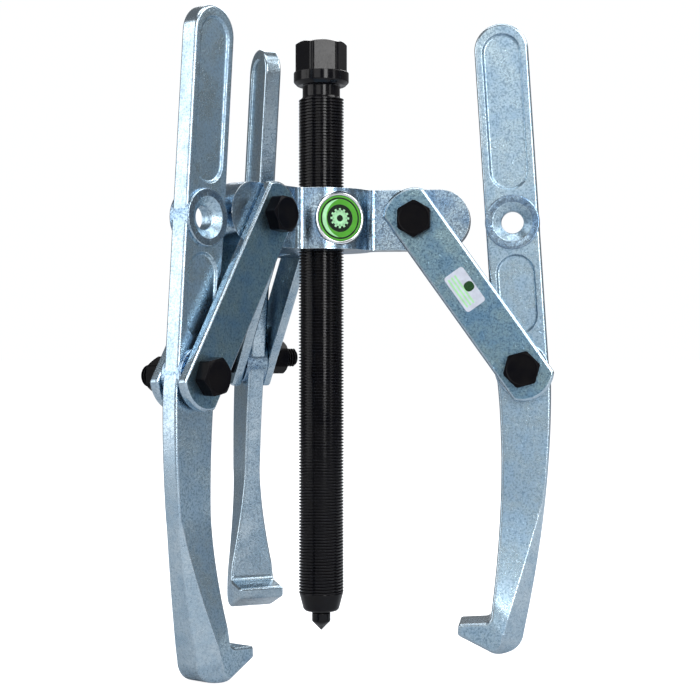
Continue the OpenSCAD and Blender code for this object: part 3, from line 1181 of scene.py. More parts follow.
@dataclass(frozen=True)
class PlainMetal:
    """Bright metal with light scratches: the badge's rim, the thrust ball and the wire ring."""

    name: str
    colour: Colour
    rough: Point2

    def build(self, effects: Effects) -> bpy.types.Material:
        """Makes the material.

        Args:
            effects: Groups that the finishes share.

        Returns:
            The material.
        """
        coat = Coat(self.name, effects)
        mottle = coat.effect(effects.mottle, Patch_Scale=220.0, Speckle_Scale=1800.0)
        wear = coat.effect(effects.wear, Width=0.2 * MM, Softness=0.15, Break_Up=0.4)["Mask"]
        grain = coat.effect(effects.grain, Scale=2600.0, Pits=0.2)["Height"]
        duller = tuple(0.72 * c for c in self.colour[:3]) + (1.0,)
        tone = coat.blend(mottle["Speckle"], self.colour, duller)
        coat.feed(coat.shader.inputs["Base Color"], coat.blend(wear, tone, self.colour))
        coat.shader.inputs["Metallic"].default_value = 1.0
        coat.feed(coat.shader.inputs["Roughness"], coat.level(mottle["Patch"], self.rough[0], self.rough[1]))
        coat.bump(grain, 0.012 * MM, 1.0)
        return coat.material


@dataclass(frozen=True)
class Enamel:
    """Glossy enamel of one colour, with soft deeper patches and paler rubbed edges."""

    name: str
    colour: Colour
    rough: Point2 = (0.12, 0.24)

    def build(self, effects: Effects) -> bpy.types.Material:
        """Makes the material.

        Args:
            effects: Groups that the finishes share.

        Returns:
            The material.
        """
        coat = Coat(self.name, effects)
        mottle = coat.effect(effects.mottle, Patch_Scale=160.0, Speckle_Scale=1400.0)
        wear = coat.effect(effects.wear, Width=0.15 * MM, Softness=0.3, Break_Up=0.6)["Mask"]
        grain = coat.effect(effects.grain, Scale=1600.0, Pits=0.2)["Height"]
        deeper = tuple(0.8 * c for c in self.colour[:3]) + (1.0,)
        tone = coat.blend(mottle["Patch"], self.colour, deeper)
        paler = tuple(min(1.0, 0.25 + 0.8 * c) for c in self.colour[:3]) + (1.0,)
        coat.feed(coat.shader.inputs["Base Color"], coat.blend(wear, tone, paler))
        coat.shader.inputs["Coat Weight"].default_value = 0.6
        coat.shader.inputs["Coat Roughness"].default_value = 0.08
        rough = coat.level(mottle["Speckle"], self.rough[0], self.rough[1])
        coat.feed(coat.shader.inputs["Roughness"], rough)
        coat.bump(grain, 0.01 * MM, 1.0)
        return coat.material


class Palette:
    """Every finish of the puller, built once."""

    def __init__(self) -> None:
        """Builds the materials."""
        effects = Effects()
        polished = ZincPlate(
            "zinc_polished",
            pale=(0.52, 0.62, 0.69, 1), blue=(0.38, 0.50, 0.60, 1), dark=(0.13, 0.21, 0.29, 1),
            rough=(0.16, 0.34), grain_depth=0.03, speckle_share=0.4,
        ).build(effects)
        cast = ZincPlate(
            "zinc_traverse",
            pale=(0.44, 0.56, 0.64, 1), blue=(0.20, 0.33, 0.50, 1), dark=(0.04, 0.08, 0.14, 1),
            rough=(0.14, 0.32), grain_depth=0.06, speckle_share=0.65, patch_scale=55.0,
        ).build(effects)
        jaws = ZincPlate(
            "zinc_jaws",
            pale=(0.45, 0.58, 0.66, 1), blue=(0.33, 0.47, 0.60, 1), dark=(0.06, 0.12, 0.19, 1),
            rough=(0.24, 0.46), grain_depth=0.07, speckle_share=0.6,
        ).build(effects)
        bars = ZincPlate(
            "zinc_links",
            pale=(0.27, 0.40, 0.45, 1), blue=(0.14, 0.26, 0.38, 1), dark=(0.03, 0.07, 0.12, 1),
            rough=(0.26, 0.48), grain_depth=0.08, speckle_share=0.7,
        ).build(effects)
        self.traverse_zinc = (cast, polished, cast)
        self.jaw_zinc = (jaws, polished, cast)
        self.link_zinc = (bars, polished, bars)
        self.oxide = BlackOxide("black_oxide_spindle", rough=(0.10, 0.22), gloss=0.24).build(effects)
        self.bolt_oxide = BlackOxide("black_oxide_bolts", rough=(0.28, 0.42), gloss=0.06).build(effects)
        self.steel = PlainMetal("ground_steel", (0.62, 0.62, 0.64, 1), (0.12, 0.25)).build(effects)
        self.rim = PlainMetal("badge_rim_bright", (0.82, 0.84, 0.86, 1), (0.08, 0.2)).build(effects)
        self.green = Enamel("enamel_green", (0.08, 0.36, 0.03, 1)).build(effects)
        self.dark_green = Enamel("enamel_dark_green", (0.005, 0.06, 0.008, 1)).build(effects)
        self.black_green = Enamel("enamel_black_green", (0.002, 0.012, 0.003, 1)).build(effects)
        # Mint: the cog's own enamel colour, also used for the badge's painted reflection, a pale crescent on its
        # left side.
        self.mint = Enamel("enamel_mint_and_painted_reflection", (0.42, 0.80, 0.45, 1)).build(effects)
        self.film = Enamel("label_film", (0.62, 0.66, 0.76, 1), (0.35, 0.5)).build(effects)
        self.film_green = Enamel("label_stripe", (0.40, 0.78, 0.40, 1), (0.35, 0.5)).build(effects)


# ---------------------------------------------------------------- traverse and badge


@dataclass
class Traverse:
    """Forged star with a round hub and three lugs, and the bore that the spindle runs in."""

    palette: Palette
    height: float = 35.0
    hub_radius: float = 29.5
    lug_thickness: float = 14.0
    lug_reach: float = 87.5
    fillet_radius: float = 7.0
    edge_rounding: float = 1.5
    bore_radius: float = 13.28
    bolt_hole_radius: float = 6.2
    badge_seat_radius: float = 15.3
    badge_seat_depth: float = 2.4
    seat_rounding: float = 0.3
    bore_chamfer: float = 1.0
    cutter_reach: float = 12.0
    bevel_angle: float = 40.0
    bevel_steps: int = 3
    hub_steps: int = 18
    fillet_steps: int = 8
    end_steps: int = 14
    hole_steps: int = 32

    @property
    def matrix(self) -> Matrix:
        """Frame with its origin on the spindle's axis at the height of the pivots."""
        level = ArmFrame(Arm.RIGHT).lug_pivot.z
        return Matrix.Translation((0, 0, level)) @ Matrix.Scale(MM, 4)

    def lug_side(self) -> list[tuple[float, float, float]]:
        """(outward, across, half height) along one side of a lug, from the hub to its end."""
        half, end_radius = self.lug_thickness / 2, self.height / 2
        reach = math.sqrt((self.hub_radius + self.fillet_radius) ** 2 - (half + self.fillet_radius) ** 2)
        centre = (reach, half + self.fillet_radius)
        lean = math.degrees(math.atan2(centre[1], centre[0]))
        fillet = arc(centre, self.fillet_radius, 180 + lean, 270, self.fillet_steps)
        side = [(x, y, end_radius) for x, y in fillet]
        start = self.lug_reach - end_radius
        for k in range(self.end_steps + 1):
            turn = math.radians(90 * k / self.end_steps)
            side.append((start + end_radius * math.sin(turn), half, end_radius * math.cos(turn)))
        return side

    def blank(self) -> bpy.types.Mesh:
        """Star with sharp edges, before they are rounded and the holes are cut."""
        side = self.lug_side()
        flat = len(side) - self.end_steps
        loop: list[tuple[float, float, float]] = []
        hub_start = math.degrees(math.atan2(side[0][1], side[0][0]))
        for azimuth in sorted(ArmFrame(arm).azimuth for arm in Arm):
            span = (azimuth - 360 / len(Arm) + hub_start, azimuth - hub_start)
            hub = arc((0, 0), self.hub_radius, *span, self.hub_steps)[1:-1]
            loop += [(x, y, self.height / 2) for x, y in hub]
            turn = Matrix.Rotation(math.radians(azimuth), 2)
            for x, y, h in [(x, -y, h) for x, y, h in side] + list(reversed(side)):
                spot = turn @ Vector((x, y))
                loop.append((spot.x, spot.y, h))
        count, per_arm = len(loop), len(loop) // len(Arm)
        verts = [(x, y, sign * h) for sign in (1, -1) for x, y, h in loop]
        faces = [(k, (k + 1) % count, count + (k + 1) % count, count + k) for k in range(count)]
        hub_points = per_arm - 2 * len(side)
        cap: list[int] = []
        for first in range(0, count, per_arm):
            cap += range(first, first + hub_points + flat)
            cap += range(first + per_arm - flat, first + per_arm)
            for k in range(self.end_steps):
                a = first + hub_points + flat - 1 + k
                b = first + per_arm - flat - k
                faces += [(a, a + 1, b - 1, b), (count + a, count + a + 1, count + b - 1, count + b)]
        faces += [cap, [count + k for k in cap]]
        return new_mesh("traverse_blank", verts, faces)

    def cutters(self) -> bpy.types.Mesh:
        """Bore with a chamfer at each end, lug holes and the badge's seat."""
        half, lip = self.height / 2, self.bore_chamfer
        bore = [(0, -half - lip), (self.bore_radius + 2 * lip, -half - lip), (self.bore_radius, -half + lip)]
        tools = [lathe("bore", mirrored(bore))]
        hole = mirrored([(0, -self.lug_thickness), (self.bolt_hole_radius, -self.lug_thickness)])
        for arm in Arm:
            local = self.matrix.inverted() @ ArmFrame(arm).arm_matrix @ Matrix.Rotation(math.pi / 2, 4, "X")
            tools.append(moved(lathe("hole", hole, self.hole_steps), local))
        wall, depth = self.badge_seat_radius, self.hub_radius - self.badge_seat_depth
        seat = [
            (0, depth), (wall - self.seat_rounding, depth), (wall, depth + self.seat_rounding),
            (wall, depth + self.cutter_reach), (0, depth + self.cutter_reach),
        ]
        tools.append(moved(lathe("seat", seat), self.matrix.inverted() @ badge_matrix(0.0)))
        return joined("traverse_cutters", tools)

    def build(self) -> None:
        """Makes the traverse and dresses it."""

        def round_edges(scratch: bpy.types.Object) -> None:
            """Rounds the blank's sharp edges."""
            bevel = scratch.modifiers.new("edges", "BEVEL")
            bevel.limit_method, bevel.angle_limit = "ANGLE", math.radians(self.bevel_angle)
            bevel.width, bevel.segments = self.edge_rounding, self.bevel_steps
            bevel.material = Surface.POLISHED.value

        mesh = carved(evaluated(with_surfaces(self.blank()), round_edges), cut=self.cutters())
        finished_object(
            "traverse_forging", mesh, self.matrix, "hub", self.palette.traverse_zinc,
            ["traverse"],
        )


def badge_matrix(lift: float) -> Matrix:
    """Frame on the hub's face between the right and the front arm: +Z out of the hub.

    Args:
        lift: Distance of the origin from the spindle's axis, in millimetres.

    Returns:
        The matrix, in millimetres to metres.
    """
    low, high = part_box("badge")
    centre = (low + high) / 2
    out = Vector((centre.x, centre.y, 0)).normalized()
    side = Vector((0, 0, 1)).cross(out)
    origin = Vector((0, 0, centre.z)) + out * lift * MM
    return axes_matrix(origin, side, Vector((0, 0, 1)), out)


@dataclass
class Badge:
    """Round enamel badge in the hub's seat, in a bright crimped rim."""

    palette: Palette
    rings: RingTree
    face_level: float = 27.1
    radius: float = 13.0
    rim_width: float = 2.0
    rim_height: float = 1.9
    thickness: float = 1.4
    groove: Point2 = (11.0, 11.9)
    centre_radius: float = 7.9
    cog_radius: float = 4.6
    cog_bore: float = 1.9
    teeth: int = 12
    tooth: tuple[float, float, float] = (2.2, 1.2, 0.4)
    crimps: int = 30
    crimp: tuple[float, float, float] = (1.5, 1.9, 1.2)
    crimp_place: float = 0.62
    crimp_drop: float = 0.75
    crescent_tip: float = 95.0
    crescent_steps: int = 24
    crescent_margins: Point2 = (0.5, 0.2)
    crescent_foot: float = 0.3
    crescent_rise: float = 0.08
    disc_drop: float = 0.25
    ring_foot: float = 0.3
    ring_rounding: float = 0.08
    fit_gap: float = 0.05

    def rim(self) -> None:
        """Rolled rim with crimps all round."""
        outer, inner = self.radius + self.rim_width, self.radius + self.fit_gap
        corners = [(inner, 0), (outer, 0), (outer, self.rim_height), (inner, self.rim_height)]
        band = lathe("rim", rounded(corners, (0.1, 0.3, 0.9, 0.9), closed=True))
        middle = self.radius + self.rim_width * self.crimp_place
        crimps = self.rings.mesh(self.palette.rim, self.crimps, middle, self.crimp, rounded_parts=True)
        moved(crimps, Matrix.Translation((0, 0, self.rim_height - self.crimp_drop)))
        finished_object(
            "badge_rim_rolled", joined("rim", [band, crimps]), badge_matrix(self.face_level), "hub",
            [self.palette.rim], ["badge_rim"],
        )

    def layer(
        self, name: str, mesh: bpy.types.Mesh, material: bpy.types.Material, stands_for: Sequence[str] = ()
    ) -> None:
        """Finishes one layer of enamel.

        Args:
            name: Name of the piece.
            mesh: Its mesh, with the seat's floor at height 0.
            material: Its enamel.
            stands_for: CAD nodes that it is shown instead of.
        """
        place = badge_matrix(self.face_level)
        finished_object(name, mesh, place, "hub", [material], stands_for)

    def disc(self) -> None:
        """Dark ground of the badge, a little dished up in the middle."""
        top, dome, edge = self.thickness - self.disc_drop, 0.02, 0.25
        corners = [(0, 0, 0), (self.radius, 0, 0), (self.radius, top, edge), (0, top + dome, 0)]
        disc = lathe("badge_disc", rounded_profile(corners))
        self.layer("badge_disc", disc, self.palette.black_green, ["badge"])

    def ring(self, name: str, inner: float, outer: float) -> None:
        """One flat raised ring of green enamel.

        Args:
            name: Name of the piece.
            inner: Its inner radius.
            outer: Its outer radius.
        """
        low, top, soft = self.ring_foot, self.thickness, self.ring_rounding
        corners = [(inner, low), (outer, low), (outer, top), (inner, top)]
        band = lathe(name, rounded(corners, (0, 0, soft, soft), closed=True))
        self.layer(name, band, self.palette.green)

    def cog(self) -> None:
        """Plain cog wheel in the middle of the badge."""
        inner, outer, top = self.cog_bore, self.cog_radius, self.thickness
        low = top - self.tooth[2]
        wheel = lathe("cog", [(inner, low), (outer, low), (outer, top), (inner, top)])
        teeth = self.rings.mesh(self.palette.mint, self.teeth, outer, self.tooth, rounded_parts=False)
        moved(teeth, Matrix.Translation((0, 0, (low + top) / 2)))
        self.layer("badge_cog", joined("cog", [wheel, teeth]), self.palette.mint)

    def crescent(self) -> None:
        """Painted reflection: a pale crescent of the mint enamel along the left of the inner ring, standing in for
        a glossy highlight on the badge, between two circles that meet at its tips.
        """
        inside, outside = self.crescent_margins
        narrow, wide = self.centre_radius + inside, self.groove[0] - outside
        low, top = self.thickness - self.crescent_foot, self.thickness + self.crescent_rise
        tip = math.radians(self.crescent_tip)
        shift = (wide**2 - narrow**2) / (2 * (narrow + wide * math.cos(tip)))
        lean = math.degrees(math.atan2(wide * math.sin(tip), wide * math.cos(tip) - shift))
        outline = arc((0, 0), wide, self.crescent_tip, 360 - self.crescent_tip, self.crescent_steps)
        outline += arc((shift, 0), narrow + shift, 360 - lean, lean, self.crescent_steps)
        count = len(outline)
        strips = [(k, k + 1, count - 2 - k, count - 1 - k) for k in range(count // 2 - 1)]
        # The crescent is painted reflection: a pale patch of mint enamel on one side only, in place of a glossy
        # highlight.
        self.layer("badge_painted_reflection", prism("crescent", outline, low, top, strips), self.palette.mint)

    def build(self) -> None:
        """Makes the rim and the badge's layers."""
        self.rim()
        inner, outer = self.groove
        self.disc()
        self.ring("badge_outer_ring", outer, self.radius - self.fit_gap)
        self.ring("badge_inner_ring", self.centre_radius, inner)
        # Painted reflection: a pale mint crescent on the left of the inner ring.
        self.crescent()
        self.cog()


# ---------------------------------------------------------------- spindle

HEXAGON_STEPS = 96
HEXAGON_BLUNTING = 0.35
HEXAGON_TOP_SHARE = 0.955
HEXAGON_CHAMFER_SLOPE = math.tan(math.radians(30))
DISH_FLOOR_SHARE = 0.86
DISH_LIP_SHARE = 0.95


def hexagon(
    name: str, across_flats: float, height: float, both_ends: bool, dish: float = 0.0
) -> bpy.types.Mesh:
    """Hexagonal head with its corners chamfered round.

    Args:
        name: Name of the mesh.
        across_flats: Distance between opposite flats.
        height: Its height.
        both_ends: Whether the lower end is chamfered too.
        dish: Depth of the shallow dish in its upper face.

    Returns:
        Closed mesh that stands on the origin, with a corner on +X.
    """
    sixth = math.pi / 3
    flat = across_flats / 2
    corner_radius = flat / math.cos(sixth / 2) - HEXAGON_BLUNTING
    top = flat * HEXAGON_TOP_SHARE
    spokes = []
    for k in range(HEXAGON_STEPS):
        angle = 2 * math.pi * k / HEXAGON_STEPS
        radius = min(flat / math.cos(angle % sixth - sixth / 2), corner_radius)
        drop = (radius - top) * HEXAGON_CHAMFER_SLOPE
        side = [
            (top * DISH_FLOOR_SHARE, height - dish), (top * DISH_LIP_SHARE, height), (top, height),
            (radius, height - drop), (radius, drop if both_ends else 0.0), (top, 0.0),
        ]
        spokes.append([(r * math.cos(angle), r * math.sin(angle), z) for r, z in side])
    return closed_from_rows(name, spokes)


@dataclass
class Spindle:
    """Pressure spindle: wound fine thread between a plain taper and a hexagon on a collar."""

    palette: Palette
    threads: ThreadTree
    thread_diameter: float = 26.4
    thread_depth: float = 1.16
    pitch: float = 1.814
    taper_length: float = 10.5
    taper_end_diameter: float = 21.0
    neck_diameter: float = 22.0
    neck_length: float = 6.4
    neck_taper: float = 2.2
    collar_diameter: float = 32.4
    collar_height: float = 8.0
    collar_chamfer: float = 2.2
    tip_chamfer: float = 1.2
    crest_play: float = 0.25
    root_run: float = 0.9
    thread_lead: float = 0.2
    thread_end: float = 1.4
    hexagon_flats: float = 27.0
    hexagon_height: float = 17.6
    hexagon_turn: float = 8.5
    seat_radius: float = 4.08
    seat_depth: float = 20.6
    body_steps: int = 96
    thread_steps: int = 44

    def build(self) -> None:
        """Makes the spindle's body and its thread."""
        low, high = (corner_point.z / MM for corner_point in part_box("spindle"))
        hex_level = high - self.hexagon_height
        collar = hex_level - self.collar_height
        neck = collar - self.neck_length
        thread = low + self.taper_length
        crest, root = self.thread_diameter / 2, self.thread_diameter / 2 - self.thread_depth
        end, slim, wide = self.taper_end_diameter / 2, self.neck_diameter / 2, self.collar_diameter / 2
        points = [
            (0, low + self.seat_depth, 0), (self.seat_radius, low + self.seat_depth, 0),
            (self.seat_radius, low, 0.4), (end - self.tip_chamfer, low, 0.5),
            (end, low + self.tip_chamfer, 0.6), (crest - self.crest_play, thread, 0.3),
            (root, thread + self.root_run, 0),
            (root, neck - self.neck_taper, 0), (slim, neck, 0.4), (slim, collar, 0.8),
            (wide - self.collar_chamfer, collar, 0.6), (wide, collar + self.collar_chamfer, 0.6),
            (wide, hex_level, 0.6), (slim, hex_level, 0), (0, hex_level, 0),
        ]
        body = lathe("body", rounded_profile(points, steps=3), self.body_steps)
        head = hexagon("spindle_hexagon", self.hexagon_flats, self.hexagon_height, both_ends=False)
        turn = Matrix.Rotation(math.radians(self.hexagon_turn), 4, "Z")
        moved(head, Matrix.Translation((0, 0, hex_level)) @ turn)
        millimetres = Matrix.Scale(MM, 4)
        finished_object(
            "spindle_body", joined("spindle", [body, head]), millimetres, "screw", [self.palette.oxide],
            ["spindle"],
        )
        wound = self.threads.mesh(
            self.palette.oxide, Start=thread + self.thread_lead, Length=neck - self.thread_end - thread,
            Pitch=self.pitch, Crest_Radius=crest, Depth=self.thread_depth, Steps_Per_Turn=self.thread_steps,
        )
        finished_object("spindle_thread", wound, millimetres, "screw", [self.palette.oxide])


@dataclass
class PressurePoint:
    """Loose conical point in the spindle's lower end, with its thrust ball and wire ring."""

    palette: Palette
    diameter: float = 10.9
    head_height: float = 5.1
    shank_radius: float = 4.0

    def build(self) -> None:
        """Makes the point and gives the hidden ball and ring their steel."""
        cone = self.diameter / 2
        shoulder = cone + self.head_height
        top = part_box("pressure_point")[1].z / MM
        points = [
            (0, 0, 0), (cone, cone, 0.5), (cone, shoulder, 0.7), (self.shank_radius, shoulder, 0),
            (self.shank_radius, top, 0.5), (0, top, 0),
        ]
        finished_object(
            "pressure_point_turned", lathe("point", rounded_profile(points)), Matrix.Scale(MM, 4), "tip",
            [self.palette.oxide], ["pressure_point"],
        )
        for node in ("thrust_ball", "point_ring"):
            hidden = frame["nodes"][node]
            hidden.data.materials.clear()
            hidden.data.materials.append(self.palette.steel)


# ---------------------------------------------------------------- jaws


@dataclass
class Jaw:
    """Hooked jaw: straight pocketed leg with two bored bosses, flaring into the heel and toe."""

    palette: Palette
    leg_width: float = 31.0
    leg_thickness: float = 10.6
    leg_top: float = 114.99
    toe_drop: float = 143.5
    toe_reach: float = 45.5
    hook_width: float = 30.0
    boss_diameter: float = 31.5
    boss_thickness: float = 14.0
    bolt_hole_radius: float = 6.2
    spare_hole_radius: float = 6.5
    countersink_radius: float = 11.0
    countersink_depth: float = 3.0
    pocket_width: float = 22.0
    pocket_depth: float = 1.5
    land: float = 3.0
    bend_start: float = -9.0
    flare_start: float = -74.0
    flare_power: float = 1.5
    heel_radius: float = 12.7
    toe_angle: float = 30.0
    toe_fillet: float = 4.0
    heel_bevel: float = 11.0
    edge_bevel: float = 1.0
    heel_inset: float = 21.3
    heel_drop: float = 6.1
    heel_turn: float = -8.0
    inner_foot: Point2 = (-26.6, -143.5)
    inner_bend: Point2 = (-13.2, -50.0)
    outer_bend: Point2 = (13.6, -56.0)
    inner_handle: Point2 = (8.0, 45.0)
    outer_handle: Point2 = (14.0, 50.0)
    inner_step: float = 1.0
    outer_step: float = 0.6
    nose_reach: float = 0.9
    nose_rounding: float = 1.9
    bevel_power: float = 0.8
    crown_share: float = 0.3
    sole_inset: float = 9.0
    fade_start: float = 4.0
    fade_length: float = 11.0
    boss_rounding: float = 0.9
    leg_steps: int = 14
    bend_steps: int = 56
    round_steps: int = 16
    nose_steps: int = 5
    toe_steps: int = 8
    pocket_steps: int = 14

    @property
    def heel(self) -> Point2:
        """Centre of the round heel."""
        return -self.heel_inset, -self.toe_drop - self.heel_drop

    def edges(self, apex: float) -> tuple[list[Point2], list[Point2]]:
        """Outer and inner edge from the top of the leg to the nose of the toe.

        Args:
            apex: Height of the centre of the leg's round top.

        Returns:
            Two lists with as many points, which start and end together.
        """
        half = self.leg_width / 2
        outer = arc((0, apex), half, 90, 0, self.round_steps)
        inner = [(-x, z) for x, z in outer]
        for k in range(1, self.leg_steps):
            z = apex + (self.bend_start - apex) * k / self.leg_steps
            outer.append((half, z))
            inner.append((-half, z))

        heel_end = -90 - self.toe_angle
        heel_round = arc(self.heel, self.heel_radius, self.heel_turn, heel_end, self.round_steps)
        foot, tangent = heel_round[0], heel_round[-1]
        inner_top = (self.inner_foot[0], self.inner_foot[1] + self.toe_fillet)
        outer_top = (half + self.outer_step, self.bend_start)
        inner_start = (self.inner_step - half, self.bend_start)
        out_handle = tuple(a + b for a, b in zip(foot, self.outer_handle))
        in_handle = tuple(a + b for a, b in zip(self.inner_foot, self.inner_handle))
        for t in (k / self.bend_steps for k in range(self.bend_steps)):
            outer.append(bezier(outer_top, self.outer_bend, out_handle, foot, t))
            inner.append(bezier(inner_start, self.inner_bend, in_handle, inner_top, t))
        outer += heel_round[:-1]
        fillet_centre = (inner_top[0] - self.toe_fillet, inner_top[1])
        inner += arc(fillet_centre, self.toe_fillet, 0, -90, self.round_steps)[:-1]

        low_reach = self.toe_reach + self.nose_reach
        rise = (tangent[0] + low_reach) * math.tan(math.radians(self.toe_angle))
        low_nose, high_nose = (-low_reach, tangent[1] + rise), (-self.toe_reach, -self.toe_drop)
        middle = tuple((a + b) / 2 for a, b in zip(low_nose, high_nose))
        toe_face = (fillet_centre[0], -self.toe_drop)
        low_corner = corner(tangent, low_nose, middle, self.nose_rounding, self.nose_steps)
        high_corner = corner(toe_face, high_nose, middle, self.nose_rounding, self.nose_steps)
        for share in (k / self.toe_steps for k in range(self.toe_steps)):
            outer.append(tuple(a + (b - a) * share for a, b in zip(tangent, low_corner[0])))
            inner.append(tuple(a + (b - a) * share for a, b in zip(toe_face, high_corner[0])))
        return [*outer, *low_corner, middle], [*inner, *high_corner, middle]

    def sections(self, outer: Sequence[Point2], inner: Sequence[Point2]) -> list[tuple[Section, Section]]:
        """Edge sections along the jaw: thin on the leg, wide and bevelled on the hook.

        The heel's broad bevel fades out round the heel, so that the toe's underside is flat.

        Args:
            outer: Outer edge, from the top of the leg to the nose.
            inner: Inner edge, with as many points.

        Returns:
            Section of the outer and of the inner edge at each pair of points.
        """
        thin = self.leg_thickness / 2
        out = []
        for (_, high), (_, low) in zip(outer, inner):
            level = (max(high, -self.toe_drop) + max(low, -self.toe_drop)) / 2
            flare = min(1.0, max(0.0, (self.flare_start - level) / (self.toe_drop + self.flare_start)))
            half = thin + (self.hook_width / 2 - thin) * flare**self.flare_power
            bevel = self.edge_bevel + (self.heel_bevel - self.edge_bevel) * flare**self.bevel_power
            crown = min(half - self.edge_bevel, thin - self.edge_bevel + (half - thin) * self.crown_share)
            out.append((Section(half, bevel, crown), Section(half, self.edge_bevel)))
        under = False
        for k, (x, z) in enumerate(outer):
            if x < self.heel[0] - self.sole_inset or under:
                under = True
                out[k] = (Section(self.hook_width / 2, self.edge_bevel), out[k][1])
            elif x < self.heel[0] + self.heel_radius and z < self.heel[1]:
                share = smooth_step((self.heel[0] + self.fade_start - x) / self.fade_length)
                was = out[k][0]
                bevel = was.bevel + (self.edge_bevel - was.bevel) * share
                crown = was.crown + (was.half - self.edge_bevel - was.crown) * share
                out[k] = (Section(was.half, bevel, crown), out[k][1])
        return out

    def pocket(self, low: float, high: float) -> bpy.types.Mesh:
        """Cutter of one round-ended pocket on the +Y face, with a soft lip and a rounded floor.

        Args:
            low: Height of the pocket's lower end.
            high: Height of its upper end.

        Returns:
            Closed mesh that stands proud of the face.
        """
        radius, face = self.pocket_width / 2, self.leg_thickness / 2
        floor, steps = face - self.pocket_depth, self.pocket_steps
        centres = [(0, high - radius)] * (steps + 1) + [(0, low + radius)] * (steps + 1)
        normals = arc((0, 0), 1, 0, 180, steps) + arc((0, 0), 1, 180, 360, steps)
        # Each point stands out from the pocket's outline: from the floor, up the wall and over the lip.
        wall = [
            (-1.6, floor), (-0.9, floor + 0.15), (-0.4, floor + 0.6), (-0.1, face - 0.35),
            (0.2, face - 0.08), (0.6, face + 0.01), (0.6, face + 2),
        ]
        rows = [
            [(x + nx * (radius + out), level, z + nz * (radius + out)) for out, level in wall]
            for (x, z), (nx, nz) in zip(centres, normals)
        ]
        return closed_from_rows("pocket", rows)

    def across(self, profile: Sequence[Point2], height: float) -> bpy.types.Mesh:
        """Solid of revolution about the pivot axis at a height on the leg.

        Args:
            profile: (radius, distance along the axis) points.
            height: Height of the axis on the leg.

        Returns:
            The mesh.
        """
        turned = lathe("turned", profile)
        return moved(turned, Matrix.Translation((0, 0, height)) @ Matrix.Rotation(math.pi / 2, 4, "X"))

    def mesh(self, hole_pitch: float) -> bpy.types.Mesh:
        """The whole jaw in its own frame.

        Args:
            hole_pitch: Distance between its two holes.

        Returns:
            Closed mesh with the lower hole at the origin.
        """
        apex = hole_pitch + self.leg_top - self.leg_width / 2
        outer, inner = self.edges(apex)
        blank = with_surfaces(forged_plate("jaw", outer, inner, self.sections(outer, inner)))
        side, radius = self.boss_thickness / 2, self.boss_diameter / 2
        ring = rounded([(0, side), (radius, side), (radius, 0)], (0, self.boss_rounding, 0), closed=False)
        boss = mirrored(ring[:-1])
        bosses = joined("bosses", [self.across(boss, height) for height in (0, hole_pitch)])
        bolt = [(0, 2 * side), (self.bolt_hole_radius, 2 * side)]
        deep, wide, bore = self.countersink_depth, self.countersink_radius, self.spare_hole_radius
        # From above the boss, down the countersink's slope and into the bore.
        sink = [
            (0, side + 2), (wide + 0.5, side + 2), (wide + 0.5, side + 0.01), (wide, side - 0.2),
            (bore + 0.4, side - deep), (bore, side - deep - 0.5),
        ]
        cutters = [self.across(mirrored(bolt), 0), self.across(mirrored(sink), hole_pitch)]
        clear = radius + self.land
        spans = (
            (hole_pitch + clear, hole_pitch + self.leg_top - 2 * self.land),
            (clear + self.land / 2, hole_pitch - clear),
        )
        for low, high in spans:
            cutters.append(self.pocket(low, high))
            cutters.append(moved(self.pocket(low, high), Matrix.Scale(-1, 4, (0, 1, 0))))
        return carved(blank, add=painted(bosses, Surface.GROUND), cut=joined("jaw_cutters", cutters))

    def build(self) -> None:
        """Makes the three jaws from one mesh."""
        mesh = self.mesh(ArmFrame(Arm.RIGHT).hole_pitch)
        for arm in Arm:
            finished_object(
                f"jaw_{arm.label}_forging", mesh.copy(), ArmFrame(arm).jaw_matrix, f"{arm.label}_jaw",
                self.palette.jaw_zinc, [f"jaw_{arm.label}"],
            )


# ---------------------------------------------------------------- links, bolts and nuts


@dataclass(frozen=True)
class LabelPatch:
    """One rounded patch of the label, from its lower left to its upper right corner."""

    name: str
    left: float
    bottom: float
    right: float
    top: float
    rounding: float
    under: float
    face: float
    material: bpy.types.Material
    stands_for: Sequence[str] = ()

    def mesh(self) -> bpy.types.Mesh:
        """The patch as a thin plate."""
        corners = [
            (self.left, self.bottom), (self.right, self.bottom), (self.right, self.top), (self.left, self.top)
        ]
        outline = rounded(corners, [self.rounding] * len(corners), closed=True, steps=5)
        return prism(self.name, outline, self.under, self.face, [range(len(outline))])


